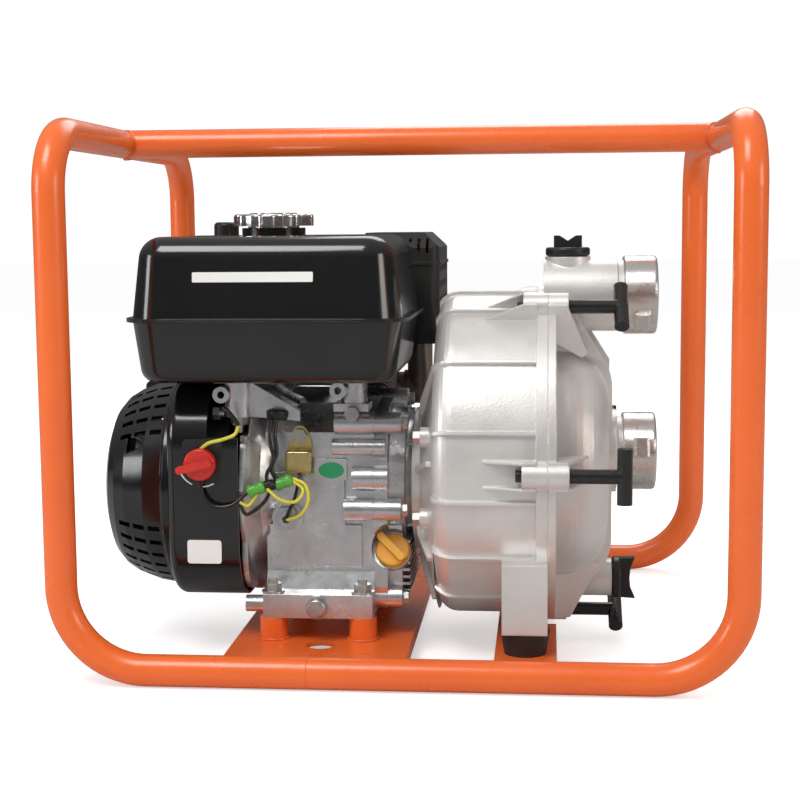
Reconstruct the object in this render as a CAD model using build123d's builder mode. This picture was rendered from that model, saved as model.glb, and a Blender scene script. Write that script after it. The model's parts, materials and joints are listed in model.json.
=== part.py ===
from build123d import *
import os
from math import sin, cos, radians, sqrt

os.makedirs("parts", exist_ok=True)

# Portable engine-driven fire pump in a tubular carry frame, millimetres, +Z up.
# Origin: on the ground, at the centre of the frame's footprint.
# +X runs from the recoil starter towards the two hose ports, -Y is the operator's (near) side.

CUT = Mode.SUBTRACT

# ---------------------------------------------------------------- driving dimensions
# Frame
TUBE_R = 12.7          # 25.4 mm (1 inch) tube
TUBE_WALL = 2.0
HALF_LENGTH = 266.5    # between tube centre lines
HALF_WIDTH = 221.7     # between tube centre lines
TOP_Z = 436.5          # centre line of the top tubes
BEND_LOW = 67.0        # bend radius at the skid corners
BEND_TOP = 48.0        # bend radius at the top corners
BUTT_X = -70.0         # where the two bent hoops meet, under the base plate
PLATE_TOP = 18.0       # top face of the base plate and of the pump cross member
PLATE_T = 4.0
PLATE_BOTTOM = PLATE_TOP - PLATE_T
LIP_T = 3.5            # thickness of their down-turned edges
LIP_Z = 7.0            # lower edge of these
RUBBER_TOP = 36.5      # underside of the pump feet
BOLT_HOLE_R = 4.6

# Axes that run along X, as (y, z)
CRANK_Y, CRANK_Z = -50.0, 141.0
PUMP_Y, PUMP_Z = -50.0, 163.5
CRANK = (CRANK_Y, CRANK_Z)
PUMP = (PUMP_Y, PUMP_Z)            # pump casing and flanges
SUCTION = (PUMP_Y, 166.0)
DISCHARGE = (PUMP_Y, 301.0)
DOME_Z = 159.0
DOME = (PUMP_Y, DOME_Z)            # domed suction chamber
DRAIN_Z = 54.0
DRAIN = (PUMP_Y, DRAIN_Z)
RECOIL = (CRANK_Y, 137.0)          # recoil cover

# Engine
BASE_Z = 37.0          # underside of the engine feet
FOOT_TOP = 57.0
FLANGE_X = -137.0      # flywheel-side flange face of the crankcase
CASE_X = -119.0        # flywheel-side wall of the crankcase
COVER_X = -27.0        # joint between crankcase and its cover
HOUSING_X = -198.0     # joint between fan housing and recoil cover
CYL_X = -72.0          # cylinder centre plane
PLUG_X = CYL_X + 32    # spark plug
ROCKER_X = CYL_X - 9   # rocker cover
TILT = 25              # cylinder tilt above horizontal, towards +Y
CYL_DIR = (0.0, cos(radians(TILT)), sin(radians(TILT)))
BORE_R = 34.0
STROKE = 54.0
ROD = 84.0             # crank pin to wrist pin
SHAFT_R = 12.5
SHAFT_BORE_R = 12.52   # flywheel hub on the shaft
NECK_BASE = Vector(-12.4, -98, 79.5)     # oil filler neck
NECK_DIR = Vector(0, -cos(radians(28)), sin(radians(28)))

# Pump
PART_X = 117.5         # plane between pump casing and pump cover
FLANGE_R = 143.0
FILL = (134.0, PUMP_Y)         # filling plug axis, as (x, y)
ROPE = (-243.0, CRANK_Y + 50)  # starter rope axis, as (x, y)


# ---------------------------------------------------------------- drawing helpers
def plane_x(x, y=0, z=0):
    return Plane(origin=(x, y, z), x_dir=(0, 1, 0), z_dir=(1, 0, 0))


def plane_y(y, x=0, z=0):
    """Plane that faces -Y, with local axes X and Z."""
    return Plane(origin=(x, y, z), x_dir=(1, 0, 0), z_dir=(0, -1, 0))


def polar(across, up, radius, angle):
    return (across + radius * cos(radians(angle)), up + radius * sin(radians(angle)))


def arc_points(across, up, radius, start, end, count):
    return [polar(across, up, radius, start + (end - start) * i / (count - 1))
            for i in range(count)]


def disc(plane, radius, length, mode=Mode.ADD):
    """Cylinder from the plane's origin along its normal."""
    with BuildSketch(plane) as s:
        Circle(radius)
    extrude(s.sketch, amount=length, mode=mode)


def cyl_x(x0, x1, y, z, radius, mode=Mode.ADD):
    disc(plane_x(x0, y, z), radius, x1 - x0, mode)


def cyl_y(y0, y1, x, z, radius, mode=Mode.ADD):
    disc(plane_y(y0, x, z), radius, y0 - y1, mode)


def cyl_z(z0, z1, x, y, radius, mode=Mode.ADD):
    disc(Plane((x, y, z0)), radius, z1 - z0, mode)


def hexagon(plane, corner_radius, length):
    with BuildSketch(plane) as s:
        RegularPolygon(corner_radius, 6)
    extrude(s.sketch, amount=length)


def hex_x(x0, x1, y, z, across_flats):
    hexagon(plane_x(x0, y, z), across_flats / sqrt(3), x1 - x0)


def hex_z(z0, z1, x, y, across_flats):
    hexagon(Plane((x, y, z0)), across_flats / sqrt(3), z1 - z0)


def block(x0, x1, y0, y1, z0, z1, mode=Mode.ADD):
    with BuildSketch(Plane.XY.offset(z0)) as s:
        with Locations(((x0 + x1) / 2, (y0 + y1) / 2)):
            Rectangle(x1 - x0, y1 - y0)
    extrude(s.sketch, amount=z1 - z0, mode=mode)


def pad(plane, width, height, radius, length, at=(0, 0), taper=0, mode=Mode.ADD):
    """Rounded rectangle on the plane, extruded along its normal."""
    with BuildSketch(plane) as s:
        with Locations(at):
            RectangleRounded(width, height, radius)
    extrude(s.sketch, amount=length, taper=taper, mode=mode)


def round_block(x0, x1, y0, y1, z0, z1, radius, mode=Mode.ADD):
    """Block with its vertical edges rounded."""
    centre = ((x0 + x1) / 2, (y0 + y1) / 2)
    pad(Plane.XY.offset(z0), x1 - x0, y1 - y0, radius, z1 - z0, at=centre, mode=mode)


def prism(plane, points, length, both=False, mode=Mode.ADD):
    """Closed polygon on the plane, extruded along its normal."""
    with BuildSketch(plane) as s:
        with BuildLine():
            Polyline(*points, close=True)
        make_face()
    extrude(s.sketch, amount=length, both=both, mode=mode)


def plate_xz(points, y, thickness):
    """Flat plate with an outline in X and Z, centred on y."""
    prism(plane_y(y), points, thickness / 2, both=True)


def radial_plate(points, y, z, angle, thickness, offset=0.0):
    """Plate in a plane through the X-parallel axis at y, z; points are (x, radius).

    The angle rises from the near horizontal. The offset is square to the plate.
    """
    outward = Vector(0, -cos(radians(angle)), sin(radians(angle)))
    normal = Vector(1, 0, 0).cross(outward)
    plane = Plane(origin=Vector(0, y, z) + normal * offset, x_dir=(1, 0, 0), z_dir=normal)
    prism(plane, points, thickness / 2, both=True)


def turned(points, y, z, mode=Mode.ADD):
    """Body of revolution about the X-parallel axis at y, z; points are (x, radius)."""
    with BuildSketch(plane_y(y, z=z)) as s:
        with BuildLine():
            Polyline(*points, close=True)
        make_face()
    revolve(s.sketch, axis=Axis((0, y, z), (1, 0, 0)), mode=mode)


def along_cylinder(distance):
    """(y, z) at a distance from the crank axis along the cylinder axis."""
    return (CRANK_Y + distance * CYL_DIR[1], CRANK_Z + distance * CYL_DIR[2])


def cylinder_plane(distance, x=CYL_X):
    """Plane square to the cylinder axis."""
    return Plane(origin=(x, *along_cylinder(distance)), x_dir=(1, 0, 0), z_dir=CYL_DIR)


def neck_plane(distance):
    """Plane square to the oil filler neck."""
    return Plane(origin=NECK_BASE + NECK_DIR * distance, x_dir=(1, 0, 0), z_dir=NECK_DIR)


def save(builder, name):
    builder.part.label = name
    export_step(builder.part, "parts/" + name + ".step")


# ---------------------------------------------------------------- shared hole patterns
# Engine spacers and pump mounts, as (x, y)
SPACERS = [(x, y) for y in (-136, 26) for x in (-111.75, -36.25)]
MOUNTS = [(99.5, -169), (99.5, 69)]

# Screws along X, as (y, z)
COVER_SCREWS = [(-119, 198), (-127, 126), (-119, 50), (12, 62), (17, 186), (-52, 211)]
RECOIL_SCREWS = [polar(*RECOIL, 80, angle) for angle in (30, 150, 270)]
BRACKET_SCREWS = [(CRANK_Y + y, CRANK_Z + z) for y in (-35, 35) for z in (-35, 35)]
CASING_SCREWS = [(-126, 187), (-133, 120), (26, 187), (33, 120)]

CRANK_PIN = along_cylinder(STROKE / 2)
WRIST_DISTANCE = STROKE / 2 + ROD
WRIST = along_cylinder(WRIST_DISTANCE)
HEAD_PORT = along_cylinder(150)     # axis of the intake and exhaust ports
HEAD_Y, HEAD_Z = HEAD_PORT

# T-handle clamp bolts. The lowest sits on a smaller circle, clear of the ground.
LOWEST = -95.0
CLAMP_CIRCLE = 144.0
LOWEST_CIRCLE = 142.0
CLAMP_ANGLES = [       # angle from the near horizontal, turn of the T bar from +Z
    (65.0, 45.0), (1.0, 0.0), (115.0, 30.0), (179.0, 15.0), (LOWEST, 62.0)]
CLAMPS = [             # angle, turn, y, z
    (angle, turn,
     *polar(*PUMP, LOWEST_CIRCLE if angle == LOWEST else CLAMP_CIRCLE, 180 - angle))
    for angle, turn in CLAMP_ANGLES]


# ================================================================= FRAME
def draw_hoop(sign):
    """Half of the carry frame: one tube bent four times, from rail to rail."""
    bend_mid = 1 - sin(radians(45))
    x_end = sign * HALF_LENGTH
    x_low = sign * (HALF_LENGTH - BEND_LOW)
    x_mid = sign * (HALF_LENGTH - BEND_LOW * bend_mid)
    z_low = TUBE_R + BEND_LOW
    z_low_mid = TUBE_R + BEND_LOW * bend_mid
    z_top = TOP_Z - BEND_TOP
    z_top_mid = TOP_Z - BEND_TOP * bend_mid
    side = HALF_WIDTH
    y_top = side - BEND_TOP
    y_mid = side - BEND_TOP * bend_mid
    with BuildLine() as path:
        Line((BUTT_X, -side, TUBE_R), (x_low, -side, TUBE_R))
        ThreePointArc((x_low, -side, TUBE_R), (x_mid, -side, z_low_mid), (x_end, -side, z_low))
        Line((x_end, -side, z_low), (x_end, -side, z_top))
        ThreePointArc((x_end, -side, z_top), (x_end, -y_mid, z_top_mid), (x_end, -y_top, TOP_Z))
        Line((x_end, -y_top, TOP_Z), (x_end, y_top, TOP_Z))
        ThreePointArc((x_end, y_top, TOP_Z), (x_end, y_mid, z_top_mid), (x_end, side, z_top))
        Line((x_end, side, z_top), (x_end, side, z_low))
        ThreePointArc((x_end, side, z_low), (x_mid, side, z_low_mid), (x_low, side, TUBE_R))
        Line((x_low, side, TUBE_R), (BUTT_X, side, TUBE_R))
    with BuildSketch(Plane(origin=(BUTT_X, -side, TUBE_R), z_dir=(sign, 0, 0))) as s:
        Circle(TUBE_R)
        Circle(TUBE_R - TUBE_WALL, mode=CUT)
    sweep(s.sketch, path=path.wires()[0])


for sign, name in ((-1, "frame_hoop_left"), (1, "frame_hoop_right")):
    with BuildPart() as frame_hoop:
        draw_hoop(sign)
    save(frame_hoop, name)

# Carry rail along the top, coped onto the two end tubes.
with BuildPart() as top_rail:
    cyl_x(-HALF_LENGTH, HALF_LENGTH, 0, TOP_Z, TUBE_R)
    cyl_x(-HALF_LENGTH, HALF_LENGTH, 0, TOP_Z, TUBE_R - TUBE_WALL, CUT)
    for sign in (-1, 1):
        cyl_y(-40, 40, sign * HALF_LENGTH, TOP_Z, TUBE_R, CUT)
save(top_rail, "top_rail")


def draw_cross_plate(x0, x1):
    """Plate across the frame with down-turned edges at both ends in X."""
    block(x0, x1, -HALF_WIDTH, HALF_WIDTH, PLATE_BOTTOM, PLATE_TOP)
    block(x0, x0 + LIP_T, -200, 200, LIP_Z, PLATE_TOP)
    block(x1 - LIP_T, x1, -200, 200, LIP_Z, PLATE_TOP)


# Engine base plate, coped onto the skid rails, with four tubular spacers on it.
with BuildPart() as base_plate:
    draw_cross_plate(-143, 5)
    for x, y in SPACERS:
        cyl_z(PLATE_TOP, BASE_Z, x, y, 11.5)
    for y in (-158, 60):
        cyl_z(PLATE_BOTTOM, PLATE_BOTTOM + 40, -69, y, 12, CUT)
    for x, y in SPACERS:
        cyl_z(PLATE_BOTTOM, PLATE_BOTTOM + 40, x, y, BOLT_HOLE_R, CUT)
    for sign in (-1, 1):
        cyl_x(-150, 10, sign * HALF_WIDTH, TUBE_R, TUBE_R, CUT)
    block(-150, 10, HALF_WIDTH, HALF_WIDTH + 30, 0, 40, CUT)
    block(-150, 10, -HALF_WIDTH - 30, -HALF_WIDTH, 0, 40, CUT)
save(base_plate, "base_plate")

# Cross member that carries the pump feet, with a relief for the lowest clamp lug.
with BuildPart() as pump_cross_member:
    draw_cross_plate(75, 125)
    for sign in (-1, 1):
        cyl_x(60, 140, sign * HALF_WIDTH, TUBE_R, TUBE_R, CUT)
    block(90, 130, -78, 2, 0, 30, CUT)
    for x, y in MOUNTS:
        cyl_z(PLATE_BOTTOM, PLATE_TOP, x, y, BOLT_HOLE_R, CUT)
save(pump_cross_member, "pump_cross_member")

# Hold-down bolts of the engine, from foot to plate, and studs of the pump mounts.
BOLT_R = 4.0
BOLT_FLATS = 13
NUT_Z = 7.4
WASHER_TOP = FOOT_TOP + 1.6
HEAD_TOP = FOOT_TOP + 7.6
with BuildPart() as mount_bolts:
    for x, y in SPACERS:
        cyl_z(FOOT_TOP, WASHER_TOP, x, y, 9.5)
        hex_z(WASHER_TOP, HEAD_TOP, x, y, BOLT_FLATS)
        cyl_z(HEAD_TOP, FOOT_TOP + 11.5, x, y, BOLT_R)
        cyl_z(4, WASHER_TOP, x, y, BOLT_R)
        hex_z(NUT_Z, PLATE_BOTTOM, x, y, BOLT_FLATS)
    for x, y in MOUNTS:
        cyl_z(6, 48, x, y, BOLT_R)
        hex_z(NUT_Z, PLATE_BOTTOM, x, y, BOLT_FLATS)
save(mount_bolts, "mount_bolts")

# Rubber mounts under the two pump feet, wider at the top.
with BuildPart() as pump_rubber_mounts:
    for x, y in MOUNTS:
        for z, radius in ((PLATE_TOP, 17), (RUBBER_TOP, 20)):
            with BuildSketch(Plane.XY.offset(z)):
                with Locations((x, y)):
                    Circle(radius)
        loft()
        cyl_z(PLATE_TOP, RUBBER_TOP, x, y, BOLT_HOLE_R, CUT)
save(pump_rubber_mounts, "pump_rubber_mounts")

# ================================================================= ENGINE: crankcase
CASE_OUTLINE = [       # y, z
    (-146, BASE_Z), (-146, FOOT_TOP), (-127, FOOT_TOP), (-121, 72), (-121, 190), (-112, 199),
    (-60, 208), (-10, 200), (12, 178), (12, FOOT_TOP), (36, FOOT_TOP), (36, BASE_Z)]
BELL_PROFILE = [       # x, radius
    (FLANGE_X, 0), (FLANGE_X, 99), (-133, 99), (-129, 94), (-122, 84), (-112, 76), (-98, 70),
    (-98, 0)]
BOSSES = [             # start x, y, z, radius; all end at the cover joint
    (-60, -119, 198, 10), (-62, -122, 178, 7), (-45, -124, 152, 10.5), (-52, -127, 126, 9.5),
    (-60, -52, 211, 9), (-60, 17, 186, 9), (-60, 14, 66, 9)]
OIL_DRAIN = (-73, 47)          # x, z
OIL_SENSOR = (-100, 118.5)     # x, z
BEARING_R = 26
BEARING_W = 15
CAP_SEAT = 17.1                # start of the filler cap's turning room, along the neck
CAP_ROOM_R = 17.7

with BuildPart() as crankcase:
    prism(plane_x(CASE_X), CASE_OUTLINE, COVER_X - CASE_X)
    # flange on the flywheel side
    pad(plane_x(FLANGE_X, -52, 134), 176, 160, 34, 5)
    turned(BELL_PROFILE, *CRANK)
    # cut back under the tank and round the tank arm
    block(-139, -119.1, -160, 60, 231, 260, CUT)
    block(-139, -119.1, -160, -104, 203.2, 240, CUT)
    block(-139, -131, -160, -104, 189, 240, CUT)
    block(-139, -119.1, 47.4, 60, 20, 260, CUT)
    # cylinder barrel and its cooling fins
    disc(cylinder_plane(50), 42, 85)
    for i in range(8):
        pad(cylinder_plane(78 + 7 * i), 90, 92, 8, 2.2)
    for x, y, z, radius in BOSSES:
        cyl_x(x, COVER_X, y, z, radius)
    # raised panel and lower band on the operator's face
    block(-116, -38, -124, -118, 76, 112)
    block(-112, -52, -124.5, -118, 112, 156.5)
    block(-77.5, -50, -124.5, -118, 150, 168)
    # bosses of the drain plug and oil sensor
    cyl_y(-149, -120, *OIL_DRAIN, 10)
    cyl_y(-129, -115, *OIL_SENSOR, 13)
    # ear for the fan housing at the near foot's flywheel end
    cyl_x(-136, -118, -128, 45, 7)
    # inside: crank chamber, sump and bore
    cyl_x(-104, COVER_X, *CRANK, 58, CUT)
    block(-104, COVER_X, -100, 0, 48, CRANK_Z, CUT)
    disc(cylinder_plane(20), BORE_R, 116, CUT)
    # bearing seat and shaft hole
    cyl_x(CASE_X, CASE_X + BEARING_W, *CRANK, BEARING_R, CUT)
    cyl_x(-139, -104, *CRANK, 16, CUT)
    # foot holes, drain hole, sensor hole, cover screw holes
    for x, y in SPACERS:
        cyl_z(BASE_Z, FOOT_TOP, x, y, BOLT_HOLE_R, CUT)
    cyl_y(-150, -99, *OIL_DRAIN, 5.2, CUT)
    cyl_y(-130, -108, *OIL_SENSOR, 6.2, CUT)
    for y, z in COVER_SCREWS:
        cyl_x(COVER_X - 18, COVER_X, y, z, 3.1, CUT)
    # turning room for the filler cap, and room for the hold-down bolts' heads
    disc(neck_plane(CAP_SEAT), CAP_ROOM_R, 40, CUT)
    for x, y in SPACERS:
        cyl_z(FOOT_TOP, FOOT_TOP + 16, x, y, 10.3, CUT)
save(crankcase, "crankcase")

# Side cover of the crankcase with the output bearing, cooling fins and oil filler neck.
COVER_OUTLINE = [      # y, z
    (-124, 42), (-128, 60), (-124, 168), (-110, 205), (-60, 213), (-8, 206), (20, 184),
    (20, 60), (14, 42)]
COVER_HUB_X = 3.0
with BuildPart() as crankcase_cover:
    prism(plane_x(COVER_X), COVER_OUTLINE, 11)
    turned([(-16, 0), (-16, 66), (-3, 60), (-3, 52), (COVER_HUB_X, 50), (COVER_HUB_X, 0)], *CRANK)
    block(-16, -5, -112, 4, 46, 110)
    for z in range(52, 96, 6):
        block(-5, 1.5, -110, -4, z, z + 2.4)
    for y, z in COVER_SCREWS:
        cyl_x(COVER_X, -4, y, z, 9.2)
    cyl_x(COVER_X, -15, -124, 152, 10.5)
    cyl_x(COVER_X, -17, -122, 178, 7)
    disc(neck_plane(0), 14.5, 17)
    disc(neck_plane(0), 10, 18, CUT)
    disc(neck_plane(CAP_SEAT), CAP_ROOM_R, 40, CUT)
    # inside
    cyl_x(COVER_X, COVER_X + 6, *CRANK, 56, CUT)
    cyl_x(COVER_X, -6, *CRANK, BEARING_R, CUT)
    cyl_x(-8, 10, *CRANK, 13.5, CUT)
    for y, z in COVER_SCREWS:
        cyl_x(COVER_X, 0, y, z, 3.4, CUT)
    for y, z in BRACKET_SCREWS:
        cyl_x(-12, 10, y, z, 3.1, CUT)
save(crankcase_cover, "crankcase_cover")

with BuildPart() as crank_bearings:
    for x in (CASE_X, COVER_X):
        cyl_x(x, x + BEARING_W, *CRANK, BEARING_R)
        cyl_x(x, x + BEARING_W, *CRANK, 12.55, CUT)
save(crank_bearings, "crank_bearings")

with BuildPart() as crankshaft:
    cyl_x(-208, -98, *CRANK, SHAFT_R)
    cyl_x(-46, -6, *CRANK, SHAFT_R)
    cyl_x(-6, 66, *CRANK, 9.5)
    # webs, cut back on the crank pin's side
    for x0, x1 in ((-98, -85), (-59, -46)):
        with BuildSketch(plane_x(x0)):
            with Locations(CRANK):
                Circle(50)
            with Locations(Location((*along_cylinder(42), 0), TILT)):
                Rectangle(50, 110, mode=CUT)
            with Locations(CRANK_PIN):
                Circle(20)
            with Locations(CRANK):
                Circle(20)
        extrude(amount=x1 - x0)
    cyl_x(-86, -58, *CRANK_PIN, 13)
save(crankshaft, "crankshaft")

PISTON_SKIRT = WRIST_DISTANCE - 20
PISTON_CROWN = WRIST_DISTANCE + 24
WRIST_PIN_R = 9
with BuildPart() as piston:
    disc(cylinder_plane(PISTON_SKIRT), BORE_R - 0.05, 44)
    for depth in (8, 13, 18):
        with BuildSketch(cylinder_plane(PISTON_CROWN - depth)):
            Circle(BORE_R)
            Circle(BORE_R - 2.5, mode=CUT)
        extrude(amount=2, mode=CUT)
    disc(cylinder_plane(PISTON_SKIRT), BORE_R - 5, 38, CUT)
    cyl_x(CYL_X - 31, CYL_X - 11, *WRIST, 13)
    cyl_x(CYL_X + 11, CYL_X + 31, *WRIST, 13)
    cyl_x(CYL_X - 33, CYL_X + 33, *WRIST, WRIST_PIN_R, CUT)
    # wrist pin, pressed into the bosses
    cyl_x(CYL_X - 28, CYL_X + 28, *WRIST, WRIST_PIN_R)
    cyl_x(CYL_X - 28, CYL_X + 28, *WRIST, 5.5, CUT)
save(piston, "piston")

# Cylinder head with fins.
with BuildPart() as cylinder_head:
    pad(cylinder_plane(136), 78, 78, 8, 27)
    for i in range(4):
        pad(cylinder_plane(137 + 7 * i), 92, 92, 8, 2.4)
    # intake port flange on the flywheel side, exhaust flange on the pump side
    cyl_x(-124, -108, *HEAD_PORT, 17)
    cyl_x(-38, -20, *HEAD_PORT, 17)
    # trim both flanges flush with the end faces of the head
    for distance, length in ((110, 25.9), (162.9, 20)):
        with BuildSketch(cylinder_plane(distance)):
            Rectangle(200, 150)
        extrude(amount=length, mode=CUT)
    # combustion chamber, ports and plug hole
    disc(cylinder_plane(130), 30, 12, CUT)
    cyl_x(-130, -76, *HEAD_PORT, 10, CUT)
    cyl_x(-68, -10, *HEAD_PORT, 10, CUT)
    disc(cylinder_plane(145, PLUG_X), 6.2, 30, CUT)
save(cylinder_head, "cylinder_head")

with BuildPart() as rocker_cover:
    pad(cylinder_plane(163, ROCKER_X), 62, 72, 10, 3)
    pad(cylinder_plane(166, ROCKER_X), 54, 64, 9, 22, taper=4)
    outer_end = rocker_cover.faces().sort_by(Axis(origin=(0, 0, 0), direction=CYL_DIR))[-1]
    fillet(outer_end.edges(), 5)
    pad(cylinder_plane(163, ROCKER_X), 48, 58, 8, 20, taper=4, mode=CUT)
save(rocker_cover, "rocker_cover")

with BuildPart() as spark_plug:
    disc(cylinder_plane(150, PLUG_X), 6, 14)
    hexagon(cylinder_plane(163.2, PLUG_X), 9, 9)
    disc(cylinder_plane(172, PLUG_X), 5, 20)
    # rubber cap with the stub of its lead, square to the plug
    disc(cylinder_plane(173, PLUG_X), 8.5, 30)
    disc(Plane(origin=cylinder_plane(195, PLUG_X).origin, x_dir=(1, 0, 0),
               z_dir=(0, -CYL_DIR[2], CYL_DIR[1])), 6, 24)
save(spark_plug, "spark_plug")

# ================================================================= ENGINE: flywheel end
HOUSING_DEPTH = FLANGE_X - HOUSING_X
HOUSING_CENTRE = (-52, 140)      # y, z
SWITCH = (-167.0, 168.0)         # stop switch axis, as (x, z)
with BuildPart() as fan_housing:
    pad(plane_x(HOUSING_X, *HOUSING_CENTRE), 200, 184, 52, HOUSING_DEPTH)
    fillet(fan_housing.edges().filter_by(Plane.YZ).group_by(Axis.X)[0], 9)
    pad(plane_x(HOUSING_X + 9, *HOUSING_CENTRE), 195.6, 179.6, 50, HOUSING_DEPTH, mode=CUT)
    pad(plane_x(HOUSING_X + 2.5, *HOUSING_CENTRE), 180, 164, 42, 20, mode=CUT)
    cyl_x(HOUSING_X - 1, HOUSING_X + 4, *CRANK, 68, CUT)
    for y, z in RECOIL_SCREWS:
        cyl_x(HOUSING_X - 1, HOUSING_X + 4, y, z, 3.2, CUT)
    # notch for the tank arm and its bolts
    block(-163, -120, -160, -105, 189, 240, CUT)
    # hole for the stop switch stem, in the operator's side
    cyl_y(-154, -140, *SWITCH, 6.2, CUT)
save(fan_housing, "fan_housing")

RECOIL_OUTSIDE = [     # x, radius
    (HOUSING_X, 0), (HOUSING_X, 93), (-204, 93), (-206, 91), (-222, 88.5), (-240, 82),
    (-250, 76), (-257, 68), (-261, 58), (-263, 44), (-263, 0)]
RECOIL_INSIDE = [      # x, radius
    (HOUSING_X, 0), (HOUSING_X, 88), (-205, 87.5), (-221, 85.5), (-238, 79), (-248, 73),
    (-254.5, 66), (-258.5, 56.5), (-260, 43), (-260, 0)]
SLOT_ROWS = ((-213, 89.5), (-227, 86.5), (-240.5, 81))     # x, radius
with BuildPart() as recoil_cover:
    turned(RECOIL_OUTSIDE, *RECOIL)
    turned(RECOIL_INSIDE, *RECOIL, CUT)
    # rows of short cooling slots round the rim, with two gaps
    slots = []
    for angle in range(0, 360, 9):
        if 75 < angle < 105 or 150 < angle < 190:
            continue
        for x, radius in SLOT_ROWS:
            slots.append(Location((x, *polar(*RECOIL, radius, angle)), (angle - 90, 0, 0)))
    with Locations(*slots):
        Box(10.5, 4.6, 18, mode=CUT)
    # rings of round holes in the end face
    with BuildSketch(plane_x(-264, *RECOIL)):
        for ring, count in ((22, 10), (32, 15), (42, 20)):
            with PolarLocations(ring, count):
                Circle(3.4)
    extrude(amount=7, mode=CUT)
    # bushing for the rope at the top
    cyl_z(192, 207.5, *ROPE, 8)
    cyl_z(186, 215, *ROPE, 3.6, CUT)
    # centre post for the pulley
    cyl_x(-261, -229, *CRANK, 8)
    for y, z in RECOIL_SCREWS:
        cyl_x(HOUSING_X - 8, HOUSING_X, y, z, 7)
        cyl_x(HOUSING_X - 9, HOUSING_X + 1, y, z, 3.2, CUT)
        cyl_x(HOUSING_X - 40, HOUSING_X - 8, y, z, 7.5, CUT)
save(recoil_cover, "recoil_cover")

PULLEY_PROFILE = [     # x, radius
    (-253, 8.1), (-253, 56), (-248, 56), (-245, 48), (-241, 48), (-238, 56), (-233, 56),
    (-233, 8.1)]
with BuildPart() as recoil_pulley:
    turned(PULLEY_PROFILE, *CRANK)
    cyl_x(-233, -227, *CRANK, 26)
    cyl_x(-234, -226, *CRANK, 8.1, CUT)
save(recoil_pulley, "recoil_pulley")

with BuildPart() as starter_rope:
    cyl_z(CRANK_Z, 216, *ROPE, 1.9)
save(starter_rope, "starter_rope")

# Grip along Y, with a short neck down to the bushing.
with BuildPart() as starter_grip:
    with BuildSketch(Plane(origin=(ROPE[0], ROPE[1] + 20, 214.8), x_dir=(1, 0, 0),
                           z_dir=(0, 1, 0))):
        RectangleRounded(16, 13, 5)
    extrude(amount=24, both=True)
    cyl_z(207.9, 214, *ROPE, 6)
    cyl_z(205, 216.1, *ROPE, 1.95, CUT)
save(starter_grip, "starter_grip")

# Flywheel with fan blades and the starter cup.
FLYWHEEL_PROFILE = [   # x, radius
    (-186, SHAFT_BORE_R), (-186, 40), (-180, 40), (-176, 86), (-150, 86), (-150, 74),
    (-168, 70), (-170, 26), (-150, 24), (-150, SHAFT_BORE_R)]
CUP_PROFILE = [        # x, radius
    (-212, 28), (-212, 31), (-186, 33), (-186, SHAFT_BORE_R), (-190, SHAFT_BORE_R), (-190, 28)]
FAN_BLADE = [(-178, 48), (-188.4, 52), (-188.4, 84), (-172, 84)]     # x, radius
with BuildPart() as flywheel:
    turned(FLYWHEEL_PROFILE, *CRANK)
    for i in range(20):
        radial_plate(FAN_BLADE, *CRANK, 180 - 18 * i, 2.4)
    turned(CUP_PROFILE, *CRANK)
    hex_x(-204, -190, *CRANK, 30)
    cyl_x(-206, -189, *CRANK, SHAFT_BORE_R, CUT)
save(flywheel, "flywheel")

# Stop switch: base in the housing wall and a turning knob with a pointer bar.
SWITCH_Y = -152.0
with BuildPart() as switch_base:
    cyl_y(SWITCH_Y - 3, SWITCH_Y, *SWITCH, 11)
    cyl_y(SWITCH_Y, SWITCH_Y + 12, *SWITCH, 6)
    cyl_y(SWITCH_Y - 4, SWITCH_Y + 13, *SWITCH, 2.6, CUT)
save(switch_base, "switch_base")

with BuildPart() as switch_knob:
    cyl_y(SWITCH_Y - 11, SWITCH_Y - 3.3, *SWITCH, 13.2)
    fillet(switch_knob.faces().sort_by(Axis.Y)[0].edges(), 2.0)
    turn = radians(-166)
    pad(Plane(origin=(SWITCH[0], SWITCH_Y - 8, SWITCH[1]), x_dir=(cos(turn), 0, sin(turn)),
              z_dir=(0, -1, 0)), 31, 6.4, 3, 8, at=(3.5, 0))
    cyl_y(SWITCH_Y - 3.4, SWITCH_Y + 10, *SWITCH, 2.5)
save(switch_knob, "switch_knob")

# ================================================================= ENGINE: small parts
with BuildPart() as oil_drain_bolt:
    cyl_y(-150.6, -149, *OIL_DRAIN, 9.5)
    cyl_y(-156, -150.6, *OIL_DRAIN, 8)
    fillet(oil_drain_bolt.faces().sort_by(Axis.Y)[0].edges(), 2.2)
    cyl_y(-149, -125, *OIL_DRAIN, 5)
save(oil_drain_bolt, "oil_drain_bolt")

# Filler cap with a turning bar at 45 degrees, a plug and a thin stem into the neck.
CAP_BASE = 17.3        # underside of the cap, along the neck
with BuildPart() as oil_filler_cap:
    disc(neck_plane(CAP_BASE), 14.2, 7)
    neck_axis = Axis(origin=(0, 0, 0), direction=tuple(NECK_DIR))
    fillet(oil_filler_cap.faces().sort_by(neck_axis)[-1].edges(), 2)
    bar_dir = (Vector(cos(radians(45)), 0, 0)
               - NECK_DIR.cross(Vector(1, 0, 0)) * sin(radians(45)))
    pad(Plane(origin=NECK_BASE + NECK_DIR * (CAP_BASE + 5), x_dir=bar_dir, z_dir=NECK_DIR),
        31, 6.4, 2.8, 8, at=(-1.5, 0))
    disc(neck_plane(CAP_BASE), 9.8, -14)
    disc(neck_plane(CAP_BASE), 2.5, -16)
save(oil_filler_cap, "oil_filler_cap")

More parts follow.
